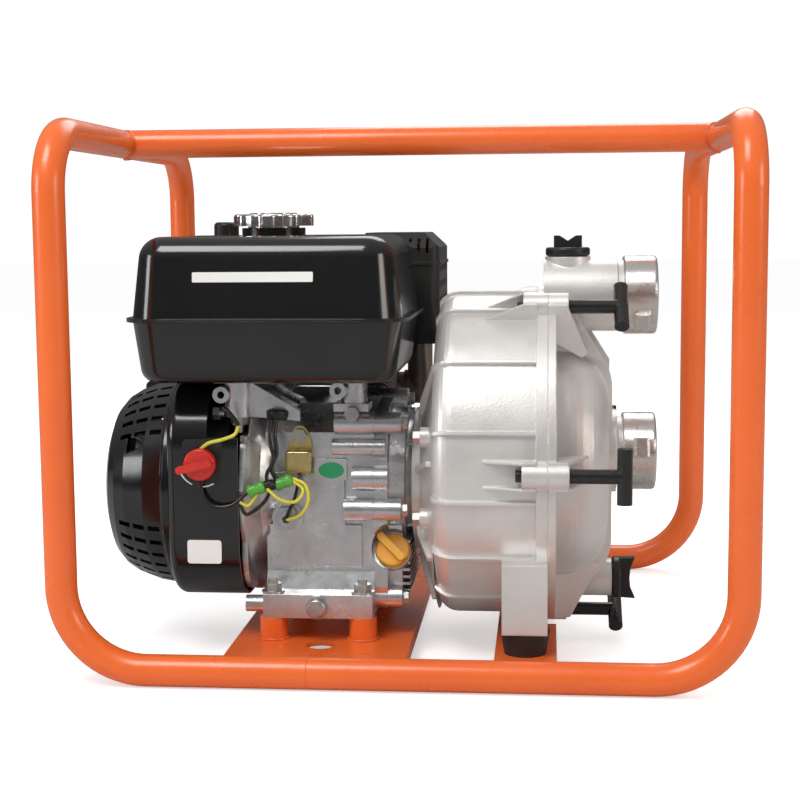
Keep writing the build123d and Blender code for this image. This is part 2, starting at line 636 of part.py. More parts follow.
# Oil alert: module on a tapered tab, and the level sensor screwed into the crankcase.
ALERT_TAB = [          # x, z
    (-98, 166), (-99, 179), (-94.5, 193), (-91.5, 196), (-86.5, 196), (-83.5, 193), (-79, 179),
    (-80, 166)]
ALERT_SCREW = (-89, 188)         # x, z
with BuildPart() as oil_alert:
    round_block(-101, -78.5, -134, -121.6, 157, 176, 3)
    fillet(oil_alert.edges().filter_by(Axis.X), 2.5)
    plate_xz(ALERT_TAB, -122.5, 2)
    cyl_y(-124, -121, *ALERT_SCREW, 3.2, CUT)
    hexagon(plane_y(-129, *OIL_SENSOR), 11, 5)
    cyl_y(-136, -129, *OIL_SENSOR, 6.8)
    cyl_y(-129, -112, *OIL_SENSOR, 6)
    cyl_y(-140, -124, *OIL_SENSOR, 3.2, CUT)
save(oil_alert, "oil_alert")


def draw_wire(points, radius):
    """Round strand along a spline through the points."""
    with BuildLine() as path:
        Spline(*points)
    edge = path.edges()[0]
    with BuildSketch(Plane(origin=edge @ 0, z_dir=edge % 0)) as s:
        Circle(radius)
    sweep(s.sketch, path=path.wires()[0])


# Switch wiring: strands and two connector bodies.
CONNECTORS = [         # start x, y, start z, end x, end z
    (-131, -152.5, 145, -117, 150), (-111, -146, 152, -97, 158)]
WIRES = [              # radius, then x, y, z of each point
    (2.3, [(-107, -133, 207), (-107, -139, 196), (-105, -143, 180), (-108, -145, 168),
           (-106, -146, 158)]),
    (4.2, [(-108, -146, 153), (-113, -149, 151), (-119, -152.5, 149)]),
    (1.6, [(-129, -152.5, 145.6), (-138, -157, 139), (-148, -159, 134), (-160, -159, 138),
           (-167, -158.5, 152)]),
    (1.4, [(-98, -146, 157), (-88, -147, 163), (-86, -143, 153), (-82, -140, 158),
           (-90, -141.5, 154.4)]),
    (1.5, [(-167, -158, 184), (-158, -161, 195), (-146, -159, 197), (-137, -154, 204),
           (-133, -148, 214)]),
    (1.4, [(-118, -153.5, 149), (-102, -155, 140), (-90, -153, 138), (-86, -150, 146),
           (-98, -148, 156)])]
with BuildPart() as wiring:
    for x0, y, z0, x1, z1 in CONNECTORS:
        length = sqrt((x1 - x0) ** 2 + (z1 - z0) ** 2)
        pad(Plane(origin=(x0, y, z0), z_dir=(x1 - x0, 0, z1 - z0)), 9, 10, 3, length)
    for radius, points in WIRES:
        draw_wire(points, radius)
save(wiring, "wiring")

# Cast arms that carry the fuel tank.
TANK_ARM = [(-151, 206), (-151, 231), (-129, 233), (-88, 209), (-88, 200.5), (-129, 204)]  # x, z
with BuildPart() as tank_brackets:
    cyl_z(204, 233, -140, -126, 11)
    plate_xz(TANK_ARM, -118, 22)
    cyl_y(-137, -122, -153, 223, 7)
    cyl_y(-138, -121, -153, 223, 3, CUT)
    block(-92, -84, -122, -96, 199, 212, CUT)
    cyl_x(-70, -50, -119, 198, 10.2, CUT)
    # second arm, a post
    cyl_z(210, 233, -44, -116, 11)
    cyl_y(-130, -117, -56, 226, 7)
    cyl_y(-131, -116, -56, 226, 3, CUT)
    block(-60, -31, -128, -98, 208.4, 215)
save(tank_brackets, "tank_brackets")

# Hex screws and bolts of the engine.
SCREW_R = 3.0
HEAD_FLATS = 9.9
HEAD_H = 3.9
HEAD_GAP = 1.2         # washer thickness, and the same gap under the recoil screws' heads
with BuildPart() as engine_bolts:
    # crankcase cover, with washers
    head_x = -4 + HEAD_GAP
    for y, z in COVER_SCREWS:
        cyl_x(-4, head_x, y, z, 6.12)
        hex_x(head_x, head_x + HEAD_H, y, z, HEAD_FLATS)
        cyl_x(-40, head_x, y, z, SCREW_R)
    # recoil starter
    head_x = HOUSING_X - 8 - HEAD_GAP
    for y, z in RECOIL_SCREWS:
        hex_x(head_x - HEAD_H, head_x, y, z, HEAD_FLATS)
        cyl_x(head_x, HOUSING_X + 3, y, z, SCREW_R)
    # tank arms
    hex_z(197, 203.9, -140, -126, 13)
    cyl_z(190.5, 197, -140, -126, 4)
    hexagon(plane_y(-129.2, -44, 207), 6.5, 7)
    hex_x(-160.5, -155, -131, 207, 10)
    cyl_x(-155, -151.2, -131, 207, SCREW_R)
    # oil alert
    hexagon(plane_y(-123.6, *ALERT_SCREW), 6, 4)
    cyl_y(-123.6, -121.2, *ALERT_SCREW, SCREW_R)
    # pump bracket: into the engine cover, and into the pump casing
    for y, z in BRACKET_SCREWS:
        hex_x(19, 23.4, y, z, 13)
        cyl_x(-6, 19, y, z, SCREW_R)
    for y, z in CASING_SCREWS:
        hex_x(6, 12, y, z, 10.5)
        cyl_x(12, 27, y, z, SCREW_R)
save(engine_bolts, "engine_bolts")

# ================================================================= FUEL TANK
TANK_CENTRE = (-110.0, -79.0)
TANK_LENGTH, TANK_WIDTH = 222.0, 202.0      # along X and Y, at the seam
SEAM_Z = 287.0
SEAM_GAP = 0.05                             # each half's seam flange stops short by this
SEAM_T = 1.5                                # from the seam to the outside of a flange
FUEL_CAP = (-116.0, -80.0)                  # x, y


def tank_pad(z, inset, radius, height, taper=0, mode=Mode.ADD):
    """Rounded slab on the tank's centre, its sides shorter than the tank's by the inset."""
    pad(Plane.XY.offset(z), TANK_LENGTH - inset, TANK_WIDTH - inset, radius, height,
        at=TANK_CENTRE, taper=taper, mode=mode)


with BuildPart() as tank_upper:
    tank_pad(SEAM_Z + SEAM_T, 0, 30, 65.5, taper=7)
    fillet(tank_upper.faces().sort_by(Axis.Z)[-1].edges(), 19)
    tank_pad(SEAM_Z + SEAM_GAP, -10, 34, SEAM_T - SEAM_GAP)
    tank_pad(SEAM_Z, 3, 29, 50, taper=7, mode=CUT)
    tank_pad(SEAM_Z + 49, 49, 14, 16, taper=20, mode=CUT)
    # filler neck
    cyl_z(352, 360.5, *FUEL_CAP, 27)
    cyl_z(340, 361, *FUEL_CAP, 22, CUT)
save(tank_upper, "tank_upper")

with BuildPart() as tank_lower:
    tank_pad(SEAM_Z - SEAM_T, 0, 30, -50, taper=8)
    fillet(tank_lower.faces().sort_by(Axis.Z)[0].edges(), 12)
    tank_pad(SEAM_Z - SEAM_T, -10, 34, SEAM_T - SEAM_GAP)
    tank_pad(SEAM_Z, 3, 29, -38, taper=8, mode=CUT)
    tank_pad(SEAM_Z - 37.5, 36, 18, -11.5, taper=25, mode=CUT)
save(tank_lower, "tank_lower")

with BuildPart() as fuel_cap:
    # scalloped rim
    with BuildSketch(Plane.XY.offset(362)):
        with Locations(FUEL_CAP):
            Circle(34)
            with PolarLocations(39.2, 12, 15):
                Circle(7.5, mode=CUT)
    extrude(amount=10)
    fillet(fuel_cap.faces().sort_by(Axis.Z)[-1].edges(), 2.2)
    cyl_z(352, 362, *FUEL_CAP, 21.8)
    cyl_z(372, 373, *FUEL_CAP, 20)
save(fuel_cap, "fuel_cap")

# ================================================================= MUFFLER SIDE
with BuildPart() as muffler:
    round_block(-56, 6, 50, 152, 262, 345, 16)
    fillet(muffler.edges().filter_by(Plane.XY), 12)
    round_block(-52, 2, 54, 148, 266, 341, 12, CUT)
    # exhaust pipe from the head up into the box
    cyl_x(-20, -14, *HEAD_PORT, 19)
    cyl_x(-14, -4, *HEAD_PORT, 12)
    cyl_z(HEAD_Z - 12, 262, -5, HEAD_Y, 12)
    cyl_x(-22, -5, *HEAD_PORT, 9.5, CUT)
    cyl_z(HEAD_Z, 264, -5, HEAD_Y, 9.5, CUT)
save(muffler, "muffler")

# Pressed heat guard over the muffler: bevelled top edges, slots and holes.
GUARD_CENTRE = (-24.5, 101.5)    # x, y
INNER_TOP = 340.5                # where the inside starts to follow the bevel
with BuildPart() as muffler_guard:
    block(-66, 17, 38, 165, 252, 355)
    chamfer(muffler_guard.faces().sort_by(Axis.Z)[-1].edges(), 14)
    fillet(muffler_guard.edges().filter_by(Axis.Z), 9)
    round_block(-64.8, 15.8, 39.2, 163.8, 240, INNER_TOP, 8, CUT)
    pad(Plane.XY.offset(INNER_TOP), 80.6, 124.6, 8, 13.3, at=GUARD_CENTRE, taper=45, mode=CUT)
    # slots in the operator-side bevel and wall
    for i in range(9):
        x = -58 + 8 * i
        block(x - 1.3, x + 1.3, 30, 47, 336, 352, CUT)
    # grid of holes in the +X wall
    for j in range(7):
        for i in range(5):
            cyl_x(10, 20, 54 + 15.5 * j, 262 + 15 * i, 4.2, CUT)
    # slots in the top
    for j in range(5):
        block(-44, -4, 58 + 20 * j, 63 + 20 * j, 350, 360, CUT)
    # bead round the guard
    with BuildSketch(Plane.XY.offset(325)):
        with Locations(GUARD_CENTRE):
            RectangleRounded(85.4, 129.4, 9.9)
            RectangleRounded(82.6, 126.6, 8.5, mode=CUT)
    extrude(amount=3)
save(muffler_guard, "muffler_guard")

# ================================================================= INTAKE SIDE
BOWL_X = -146                        # float bowl and fuel valve
CHOKE = (-154, HEAD_Z)               # x, z
FUEL_VALVE = (BOWL_X, HEAD_Z - 31)   # x, z
with BuildPart() as carburetor:
    cyl_x(-128, -124, *HEAD_PORT, 17)
    cyl_x(-165, -128, *HEAD_PORT, 14)
    block(-158, -134, HEAD_Y - 15, HEAD_Y + 15, HEAD_Z - 12, HEAD_Z + 16)
    cyl_z(HEAD_Z - 42, HEAD_Z - 10, BOWL_X, HEAD_Y, 17)
    cyl_z(HEAD_Z - 46, HEAD_Z - 42, BOWL_X, HEAD_Y, 4)
    cyl_y(HEAD_Y + 10.5, HEAD_Y + 22, *CHOKE, 6)
    cyl_y(HEAD_Y + 10.5, HEAD_Y + 22, *FUEL_VALVE, 6.5)
    cyl_x(-170, -120, *HEAD_PORT, 9.5, CUT)
    cyl_y(HEAD_Y + 12, HEAD_Y + 24, *CHOKE, 2.55, CUT)
    cyl_y(HEAD_Y + 16, HEAD_Y + 24, *FUEL_VALVE, 2.55, CUT)
save(carburetor, "carburetor")

# Air cleaner: elbow up from the carburettor into a box, with a stud for the knob.
ELBOW_X = -181
CLEANER_KNOB = (-194, 98)        # x, y
with BuildPart() as air_cleaner_case:
    cyl_x(-169, -165, *HEAD_PORT, 17)
    cyl_x(ELBOW_X, -168, *HEAD_PORT, 13.5)
    cyl_z(HEAD_Z - 14, 262, ELBOW_X, HEAD_Y, 14)
    cyl_x(-182, -160, *HEAD_PORT, 9.5, CUT)
    cyl_z(HEAD_Z - 8, 264, ELBOW_X, HEAD_Y, 10, CUT)
    round_block(-206, -118, 46, 150, 258, 280, 14)
    round_block(-203, -121, 49, 147, 262, 281, 12, CUT)
    cyl_z(250, 264, ELBOW_X, HEAD_Y, 10, CUT)
    cyl_z(261, 346, *CLEANER_KNOB, 3)
save(air_cleaner_case, "air_cleaner_case")

with BuildPart() as air_filter:
    round_block(-190, -126, 58, 140, 262.2, 330, 10)
    round_block(-183, -136, 68, 130, 262, 331, 8, CUT)
save(air_filter, "air_filter")

with BuildPart() as air_cleaner_cover:
    round_block(-206, -118, 46, 150, 280.2, 344, 14)
    fillet(air_cleaner_cover.faces().sort_by(Axis.Z)[-1].edges(), 9)
    round_block(-203, -121, 49, 147, 280, 339, 12, CUT)
    cyl_z(330, 350, *CLEANER_KNOB, 3.2, CUT)
    for i in range(7):
        round_block(-200 + i * 11, -195 + i * 11, 148, 152, 295, 325, 0.5, CUT)
save(air_cleaner_cover, "air_cleaner_cover")

with BuildPart() as air_cleaner_knob:
    cyl_z(344.4, 350, *CLEANER_KNOB, 14)
    cyl_z(350, 366, *CLEANER_KNOB, 12)
    fillet(air_cleaner_knob.faces().sort_by(Axis.Z)[-1].edges(), 4)
    with BuildSketch(Plane.XY.offset(344.4)):
        with Locations(CLEANER_KNOB):
            with PolarLocations(15.5, 6):
                Circle(4.5)
    extrude(amount=22, mode=CUT)
    cyl_z(344, 352, *CLEANER_KNOB, 3.1, CUT)
save(air_cleaner_knob, "air_cleaner_knob")


def draw_lever(x, z, pin_y, hub_radius, arm, arm_at, tip_size, tip_at, tip_radius, tip_length):
    """Pin along Y, a flat hub and arm on its far end, and a tip that points to +Y."""
    plate_y = HEAD_Y + 26
    cyl_y(pin_y, plate_y, x, z, 2.5)
    plane = plane_y(plate_y, x, z)
    with BuildSketch(plane) as s:
        Circle(hub_radius)
        with Locations(arm_at):
            RectangleRounded(*arm, 3)
    extrude(s.sketch, amount=3.5)
    pad(plane, tip_size, tip_size, tip_radius, -tip_length, at=tip_at)


with BuildPart() as choke_lever:
    draw_lever(*CHOKE, HEAD_Y + 12.5, hub_radius=6, arm=(7, 32), arm_at=(0, 16),
               tip_size=12, tip_at=(0, 30), tip_radius=4, tip_length=9)
save(choke_lever, "choke_lever")

with BuildPart() as fuel_valve_lever:
    draw_lever(*FUEL_VALVE, HEAD_Y + 17, hub_radius=7, arm=(24, 7), arm_at=(12, 0),
               tip_size=11, tip_at=(21.5, 0), tip_radius=3, tip_length=8)
save(fuel_valve_lever, "fuel_valve_lever")

# Throttle: control plate on the far side of the fan housing, with its lever.
THROTTLE = (-155, 58)            # x, y
with BuildPart() as control_plate:
    block(-176, -134, 48.5, 66, 222, 224.5)
    block(-176, -134, 48.2, 50.7, 150, 222)
    cyl_z(224.5, 228, *THROTTLE, 6)
    cyl_z(221, 229, *THROTTLE, 3.05, CUT)
save(control_plate, "control_plate")

LEVER_Z = 228.2
with BuildPart() as throttle_lever:
    cyl_z(218, 230, *THROTTLE, 3)
    with BuildSketch(Plane.XY.offset(LEVER_Z)):
        with Locations(THROTTLE):
            Circle(8)
        with Locations((-155, 68)):
            Rectangle(9, 20)
    extrude(amount=2.2)
    # upturned end
    plate_xz([(-159.5, LEVER_Z), (-150.5, LEVER_Z), (-150.5, 246), (-159.5, 246)], 79, 2.4)
    block(-160, -150, 77.8, 80.2, LEVER_Z, 230.4)
save(throttle_lever, "throttle_lever")

# ================================================================= PUMP
CASING_X = 24.0        # back wall of the casing, where the lantern meets it
# Cast lantern between the engine face and the pump casing.
LANTERN_PROFILE = [    # x, radius
    (3.05, 30), (3.05, 62), (10, 62), (13, 70), (CASING_X, 114), (CASING_X, 100), (16, 62),
    (16, 40), (CASING_X, 40), (CASING_X, 30)]
LANTERN_RIB = [(6, 58), (14, 67), (22.8, 107), (18.5, 107), (8, 76)]     # x, radius
with BuildPart() as pump_bracket:
    turned(LANTERN_PROFILE, *CRANK)
    for y, z in BRACKET_SCREWS:
        cyl_x(6, 19, y, z, 9)
        cyl_x(3, 20, y, z, 4.1, CUT)
    for y, z in CASING_SCREWS:
        cyl_x(12, CASING_X, y, z, 8.5)
        cyl_x(11, 25, y, z, 3.4, CUT)
    for angle in (165, 110, 70, 15, -30, -70, -110, -150):
        radial_plate(LANTERN_RIB, *CRANK, angle, 4.4)
    cyl_x(CASING_X, 40, *CRANK, 200, CUT)
save(pump_bracket, "pump_bracket")

LUG_R = 11.5
LOWEST_LUG_R = 10
LUG_RIB_T = 2.4
LUG_RIB_OFFSETS = (-10.3, 10.3)
CLAMP_HOLE_R = 5.3
CASING_OUTSIDE = (     # x, radius
    [(CASING_X, 0)] + arc_points(41, 121, 17, 180, 90, 8)
    + [(108, 138), (108, FLANGE_R), (PART_X, FLANGE_R), (PART_X, 0)])
CASING_INSIDE = (      # x, radius; leaves the back wall in place
    [(30, 0), (30, 117)] + arc_points(44, 118.5, 14, 180, 90, 6)[1:]
    + [(PART_X, 132.5), (PART_X, 0)])
CASING_RIB = (         # x, radius
    [(CASING_X, 90), (20.5, 90)] + arc_points(41, 121, 20.5, 180, 90, 7)
    + [(109, 141.5), (109, 130), (41, 130), (30, 112)])
CASING_RIB_ANGLES = (
    65.5, 39.5, 14.5, -8.5, -29.5, -50.5, 88, 114.5, 140.5, 165.5, 188.5, 209.5, 230.5)
CASING_LUG_RIB = [(58, 134), (97.5, 152), (108.5, 152), (108.5, 130), (58, 130)]  # x, radius
with BuildPart() as pump_casing:
    turned(CASING_OUTSIDE, *PUMP)
    # axial ribs, wrapped over the rounded back corner
    for angle in CASING_RIB_ANGLES:
        radial_plate(CASING_RIB, *PUMP, angle, 3.4)
    # clamp lugs, all but the lowest with a pair of tapering ribs
    for angle, _, y, z in CLAMPS:
        if angle == LOWEST:
            cyl_x(98, PART_X, y, z, LOWEST_LUG_R)
        else:
            cyl_x(97, PART_X, y, z, LUG_R)
            for offset in LUG_RIB_OFFSETS:
                radial_plate(CASING_LUG_RIB, *PUMP, angle, LUG_RIB_T, offset)
    # feet
    for _, y in MOUNTS:
        block(81, PART_X, y - 19, y + 19, RUBBER_TOP, 93)
    turned(CASING_INSIDE, *PUMP, CUT)
    # stud holes in the feet
    for x, y in MOUNTS:
        cyl_z(RUBBER_TOP, 50, x, y, 4.2, CUT)
    # seat of the shaft seal
    cyl_x(22, 34, *CRANK, 24)
    cyl_x(20, 36, *CRANK, 17, CUT)
    # holes for the clamp bolts and the lantern's screws
    for _, _, y, z in CLAMPS:
        cyl_x(90, PART_X, y, z, CLAMP_HOLE_R, CUT)
    for y, z in CASING_SCREWS:
        cyl_x(20, 27, y, z, 9, CUT)
        cyl_x(20, CASING_X, y, z, 9)
        cyl_x(20, 28, y, z, 3.1, CUT)
    # O-ring groove in the joint face
    turned([(114.5, 133.6), (114.5, 136.6), (118, 136.6), (118, 133.6)], *PUMP, CUT)
    # nothing stands behind the back wall
    cyl_x(0, CASING_X, *CRANK, 160, CUT)
save(pump_casing, "pump_casing")

with BuildPart() as casing_seal:
    turned([(114.6, 133.8), (114.6, 136.4), (117.45, 136.4), (117.45, 133.8)], *PUMP)
save(casing_seal, "casing_seal")

COVER_FACE_X = 124.0   # outer face of the cover's flange
PORT_NECK_R = 29.8
PORT_BORE_R = 25.6
DISCHARGE_MOUTH_R = 27.5
DOME_OUTSIDE = (       # x, radius
    [(PART_X, 0), (PART_X, 101)] + arc_points(130, 63, 38, 90, 0, 12) + [(168, 0)])
DOME_INSIDE = (        # x, radius
    [(PART_X - 1, 0), (PART_X - 1, 96)] + arc_points(131, 64, 32, 90, 0, 8) + [(163, 0)])
DOME_BAND = (          # x, z
    [(PART_X, DOME_Z + 108)] + arc_points(128.5, DOME_Z + 65, 43, 90, 0, 14)
    + arc_points(128.5, DOME_Z - 65, 43, 0, -90, 14) + [(PART_X, DOME_Z - 108)])
MIDDLE_GUSSET = [(124, 262), (124, 300), (142, 290), (170, 246), (170, 236), (160, 240)]  # x, z
SIDE_GUSSET = [(124, 262), (124, 296), (140, 288), (165, 246)]                            # x, z
COVER_LUG_RIB = [(PART_X, 151), (133, 151), (150, 106), (145, 102), (PART_X, 120)]   # x, radius
with BuildPart() as pump_cover:
    cyl_x(PART_X, COVER_FACE_X, *PUMP, FLANGE_R)
    # domed suction chamber and the raised bands round it
    turned(DOME_OUTSIDE, *DOME)
    plate_xz(DOME_BAND, -78, 9)
    plate_xz(DOME_BAND, -22, 9)
    # suction neck
    cyl_x(160, 176, *SUCTION, 36)
    cyl_x(170, 203, *SUCTION, PORT_NECK_R)
    # discharge neck with the filling boss on top
    cyl_x(113.5, 176, *DISCHARGE, 31)
    cyl_x(112, PART_X, *PUMP, FLANGE_R + 0.4, CUT)
    cyl_x(170, 203, *DISCHARGE, PORT_NECK_R)
    cyl_z(318, 334, *FILL, 19.5)
    plate_xz(MIDDLE_GUSSET, PUMP_Y, 6)
    plate_xz(SIDE_GUSSET, -88, 5)
    plate_xz(SIDE_GUSSET, -12, 5)
    # drain boss and its gussets
    cyl_x(120, 173, *DRAIN, 16.5)
    plate_xz([(124, 52), (124, 24), (137, 26), (158, 60)], PUMP_Y, 6)
    plate_xz([(124, 72), (124, 24), (137, 26), (162, 74)], -82, 5)
    # clamp lugs
    for angle, _, y, z in CLAMPS:
        cyl_x(PART_X, 134, y, z, LOWEST_LUG_R if angle == LOWEST else LUG_R)
        if angle != LOWEST:
            for offset in LUG_RIB_OFFSETS:
                radial_plate(COVER_LUG_RIB, *PUMP, angle, LUG_RIB_T, offset)
    # inside
    turned(DOME_INSIDE, *DOME, CUT)
    cyl_x(150, 210, *SUCTION, PORT_BORE_R, CUT)
    cyl_x(130, 210, *DISCHARGE, PORT_BORE_R, CUT)
    cyl_x(COVER_FACE_X, 130, *DISCHARGE, DISCHARGE_MOUTH_R, CUT)
    # discharge opening through the flange, kept within the casing's inside
    with BuildSketch(plane_x(PART_X - 1)):
        with Locations(DISCHARGE):
            Circle(DISCHARGE_MOUTH_R)
        with Locations(PUMP):
            Circle(131, mode=Mode.INTERSECT)
    extrude(amount=8, mode=CUT)
    cyl_z(310, 340, *FILL, 14.2, CUT)
    cyl_x(110, 180, *DRAIN, 11.2, CUT)
    for _, _, y, z in CLAMPS:
        cyl_x(110, 160, y, z, CLAMP_HOLE_R, CUT)
save(pump_cover, "pump_cover")

# Volute insert round the impeller, held against the back wall.
with BuildPart() as volute:
    cyl_x(44, 80, *CRANK, 84)
    cyl_x(49, 75, CRANK_Y + 3, CRANK_Z, 76, CUT)
    cyl_x(70, 82, *CRANK, 26, CUT)
    cyl_x(40, 52, *CRANK, 22, CUT)
    for angle in (45, 135, 225, 315):
        cyl_x(30.1, 44, *polar(*CRANK, 72, angle), 8)
    # outlet at the top
    block(52, 72, CRANK_Y - 6, CRANK_Y + 30, CRANK_Z + 60, CRANK_Z + 90, CUT)
save(volute, "volute")

# Impeller: disc, hub and three curved vanes that narrow in angle outwards.
VANE_STEPS = 6
with BuildPart() as impeller:
    cyl_x(51, 55, *CRANK, 66)
    cyl_x(46, 68, *CRANK, 17)
    for i in range(3):
        stations = [   # radius, angle, angular width
            (14 + 52 * step / VANE_STEPS * 0.98,
             120 * i + 70 * step / VANE_STEPS,
             9 - 4 * step / VANE_STEPS) for step in range(VANE_STEPS + 1)]
        one_side = [polar(*CRANK, radius, angle) for radius, angle, _ in stations]
        other_side = [polar(*CRANK, radius, angle + width) for radius, angle, width in stations]
        prism(plane_x(54), one_side + other_side[::-1], 17)
    cyl_x(40, 80, *CRANK, 9.52, CUT)
save(impeller, "impeller")

with BuildPart() as shaft_seal:
    cyl_x(28, 38, *CRANK, 16.95)
    cyl_x(38, 44, *CRANK, 15)
    cyl_x(20, 50, *CRANK, 9.6, CUT)
save(shaft_seal, "shaft_seal")

# Rubber check flap inside the suction opening, with its clamp bar.
FLAP_X0, FLAP_X1 = 158.6, 162.8
FLAP_HINGE_Z = SUCTION[1] + 33
with BuildPart() as check_flap:
    cyl_x(FLAP_X0, FLAP_X1, *SUCTION, 29.5)
    block(FLAP_X0, FLAP_X1, PUMP_Y - 14, PUMP_Y + 14, SUCTION[1], FLAP_HINGE_Z)
    cyl_x(154.6, FLAP_X0, *SUCTION, 20)
    cyl_y(PUMP_Y - 14, PUMP_Y + 14, 160.7, FLAP_HINGE_Z, 2.1)
save(check_flap, "check_flap")

# T-handle clamp bolts.
T_BAR_X = 177
for number, (_, turn, y, z) in enumerate(CLAMPS, start=1):
    with BuildPart() as clamp_bolt:
        cyl_x(92, 134.2, y, z, 5)
        cyl_x(134.2, T_BAR_X, y, z, 5.8)
        with BuildSketch(Plane(origin=(T_BAR_X, y, z), x_dir=(1, 0, 0),
                               z_dir=(0, sin(radians(turn)), cos(radians(turn))))):
            Circle(6.1)
        extrude(amount=22, both=True)
    save(clamp_bolt, f"clamp_bolt_{number}")

# Filling plug on the discharge boss, drain plug at the bottom: disc and waisted wing.
FILL_WING = [          # x, z
    (122, 340), (122, 352), (127, 352), (FILL[0], 347.5), (141, 352), (146, 352), (146, 340)]
with BuildPart() as fill_plug:
    cyl_z(334.3, 342, *FILL, 19)
    fillet(fill_plug.edges().filter_by(GeomType.CIRCLE), 2.4)
    plate_xz(FILL_WING, PUMP_Y, 9)
    cyl_z(327.6, 335, *FILL, 14)
save(fill_plug, "fill_plug")

DRAIN_WING = [         # x, z
    (179, 71), (193, 72), (189.5, 63), (188.8, DRAIN_Z), (189.5, 45), (193.5, 36), (179, 37)]
with BuildPart() as drain_plug:
    cyl_x(173.3, 181, *DRAIN, 18)
    fillet(drain_plug.edges().filter_by(GeomType.CIRCLE), 2.4)
    plate_xz(DRAIN_WING, PUMP_Y, 10)
    cyl_x(160, 174, *DRAIN, 11)
save(drain_plug, "drain_plug")

# Hose collars: a ring round each port neck with two opposite lugs.
COLLAR_PROFILE = (     # x, radius
    [(181, 29.9), (181, 32.2), (182.3, 33.5)] + arc_points(206.5, 30.5, 3, 90, 0, 5)
    + [(209.5, 26.2), (203.3, 26.2), (203.3, 29.9)])
COLLAR_LUG = [(190, 32), (190, 38), (192, 39.5), (201, 39.5), (203, 38), (203, 32)]  # x, radius
for name, port, lug_angle in (("suction_collar", SUCTION, 12),
                              ("discharge_collar", DISCHARGE, -35)):
    with BuildPart() as collar:
        turned(COLLAR_PROFILE, *port)
        for i in range(2):
            radial_plate(COLLAR_LUG, *port, lug_angle + 180 * i, 16)
    save(collar, name)
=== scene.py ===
# Engine-driven pump in an orange tube frame. X runs from left to right, -Y is the front that
# the camera faces and Z is up, with the skid rails on the floor at z = 0. Tables are in
# millimetres; materials, camera and lights work in metres.
import json
import random
from math import cos, pi, radians, sin, sqrt

import bmesh
import bpy
from mathutils import Matrix, Vector


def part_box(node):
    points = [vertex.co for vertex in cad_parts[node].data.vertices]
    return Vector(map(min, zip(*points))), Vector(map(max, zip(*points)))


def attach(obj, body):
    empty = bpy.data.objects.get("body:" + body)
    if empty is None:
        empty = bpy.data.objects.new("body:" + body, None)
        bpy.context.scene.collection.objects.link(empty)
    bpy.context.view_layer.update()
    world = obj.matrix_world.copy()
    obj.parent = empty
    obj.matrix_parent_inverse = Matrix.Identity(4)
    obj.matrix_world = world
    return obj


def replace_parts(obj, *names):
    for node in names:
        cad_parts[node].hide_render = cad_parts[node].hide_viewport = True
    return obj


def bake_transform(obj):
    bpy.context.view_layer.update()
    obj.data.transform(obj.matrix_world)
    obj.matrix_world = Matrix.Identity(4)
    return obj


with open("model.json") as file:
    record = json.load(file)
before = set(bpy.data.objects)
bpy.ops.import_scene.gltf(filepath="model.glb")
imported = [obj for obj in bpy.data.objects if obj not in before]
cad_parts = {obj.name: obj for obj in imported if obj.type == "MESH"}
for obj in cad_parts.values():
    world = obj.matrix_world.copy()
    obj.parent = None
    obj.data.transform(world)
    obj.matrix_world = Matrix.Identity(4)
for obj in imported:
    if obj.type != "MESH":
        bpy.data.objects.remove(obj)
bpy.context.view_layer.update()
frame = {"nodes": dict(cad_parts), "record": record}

NODES = frame["nodes"]
MM = 0.001
scene = bpy.context.scene


# ------------------------------------------------------------------ shader graphs
class Graph:
    """Adds nodes to a tree. An input takes a socket, a number or an RGB triple."""

    def __init__(self, tree):
        self.tree = tree

    def feed(self, socket, value):
        if isinstance(value, bpy.types.NodeSocket):
            self.tree.links.new(value, socket)
        elif hasattr(value, "__len__"):
            socket.default_value = (*value, 1)
        else:
            socket.default_value = value

    def node(self, kind, inputs=None, **settings):
        node = self.tree.nodes.new(kind)
        for name, value in settings.items():
            setattr(node, name, value)
        for key, value in (inputs or {}).items():
            self.feed(node.inputs[key], value)
        return node

    def calc(self, operation, first, second):
        return self.node("ShaderNodeMath", {0: first, 1: second}, operation=operation).outputs[0]

    def mix(self, factor, first, second):
        # 6, 7 and output 2 are the colour sockets of the node
        inputs = {0: factor, 6: first, 7: second}
        return self.node("ShaderNodeMix", inputs, data_type="RGBA").outputs[2]


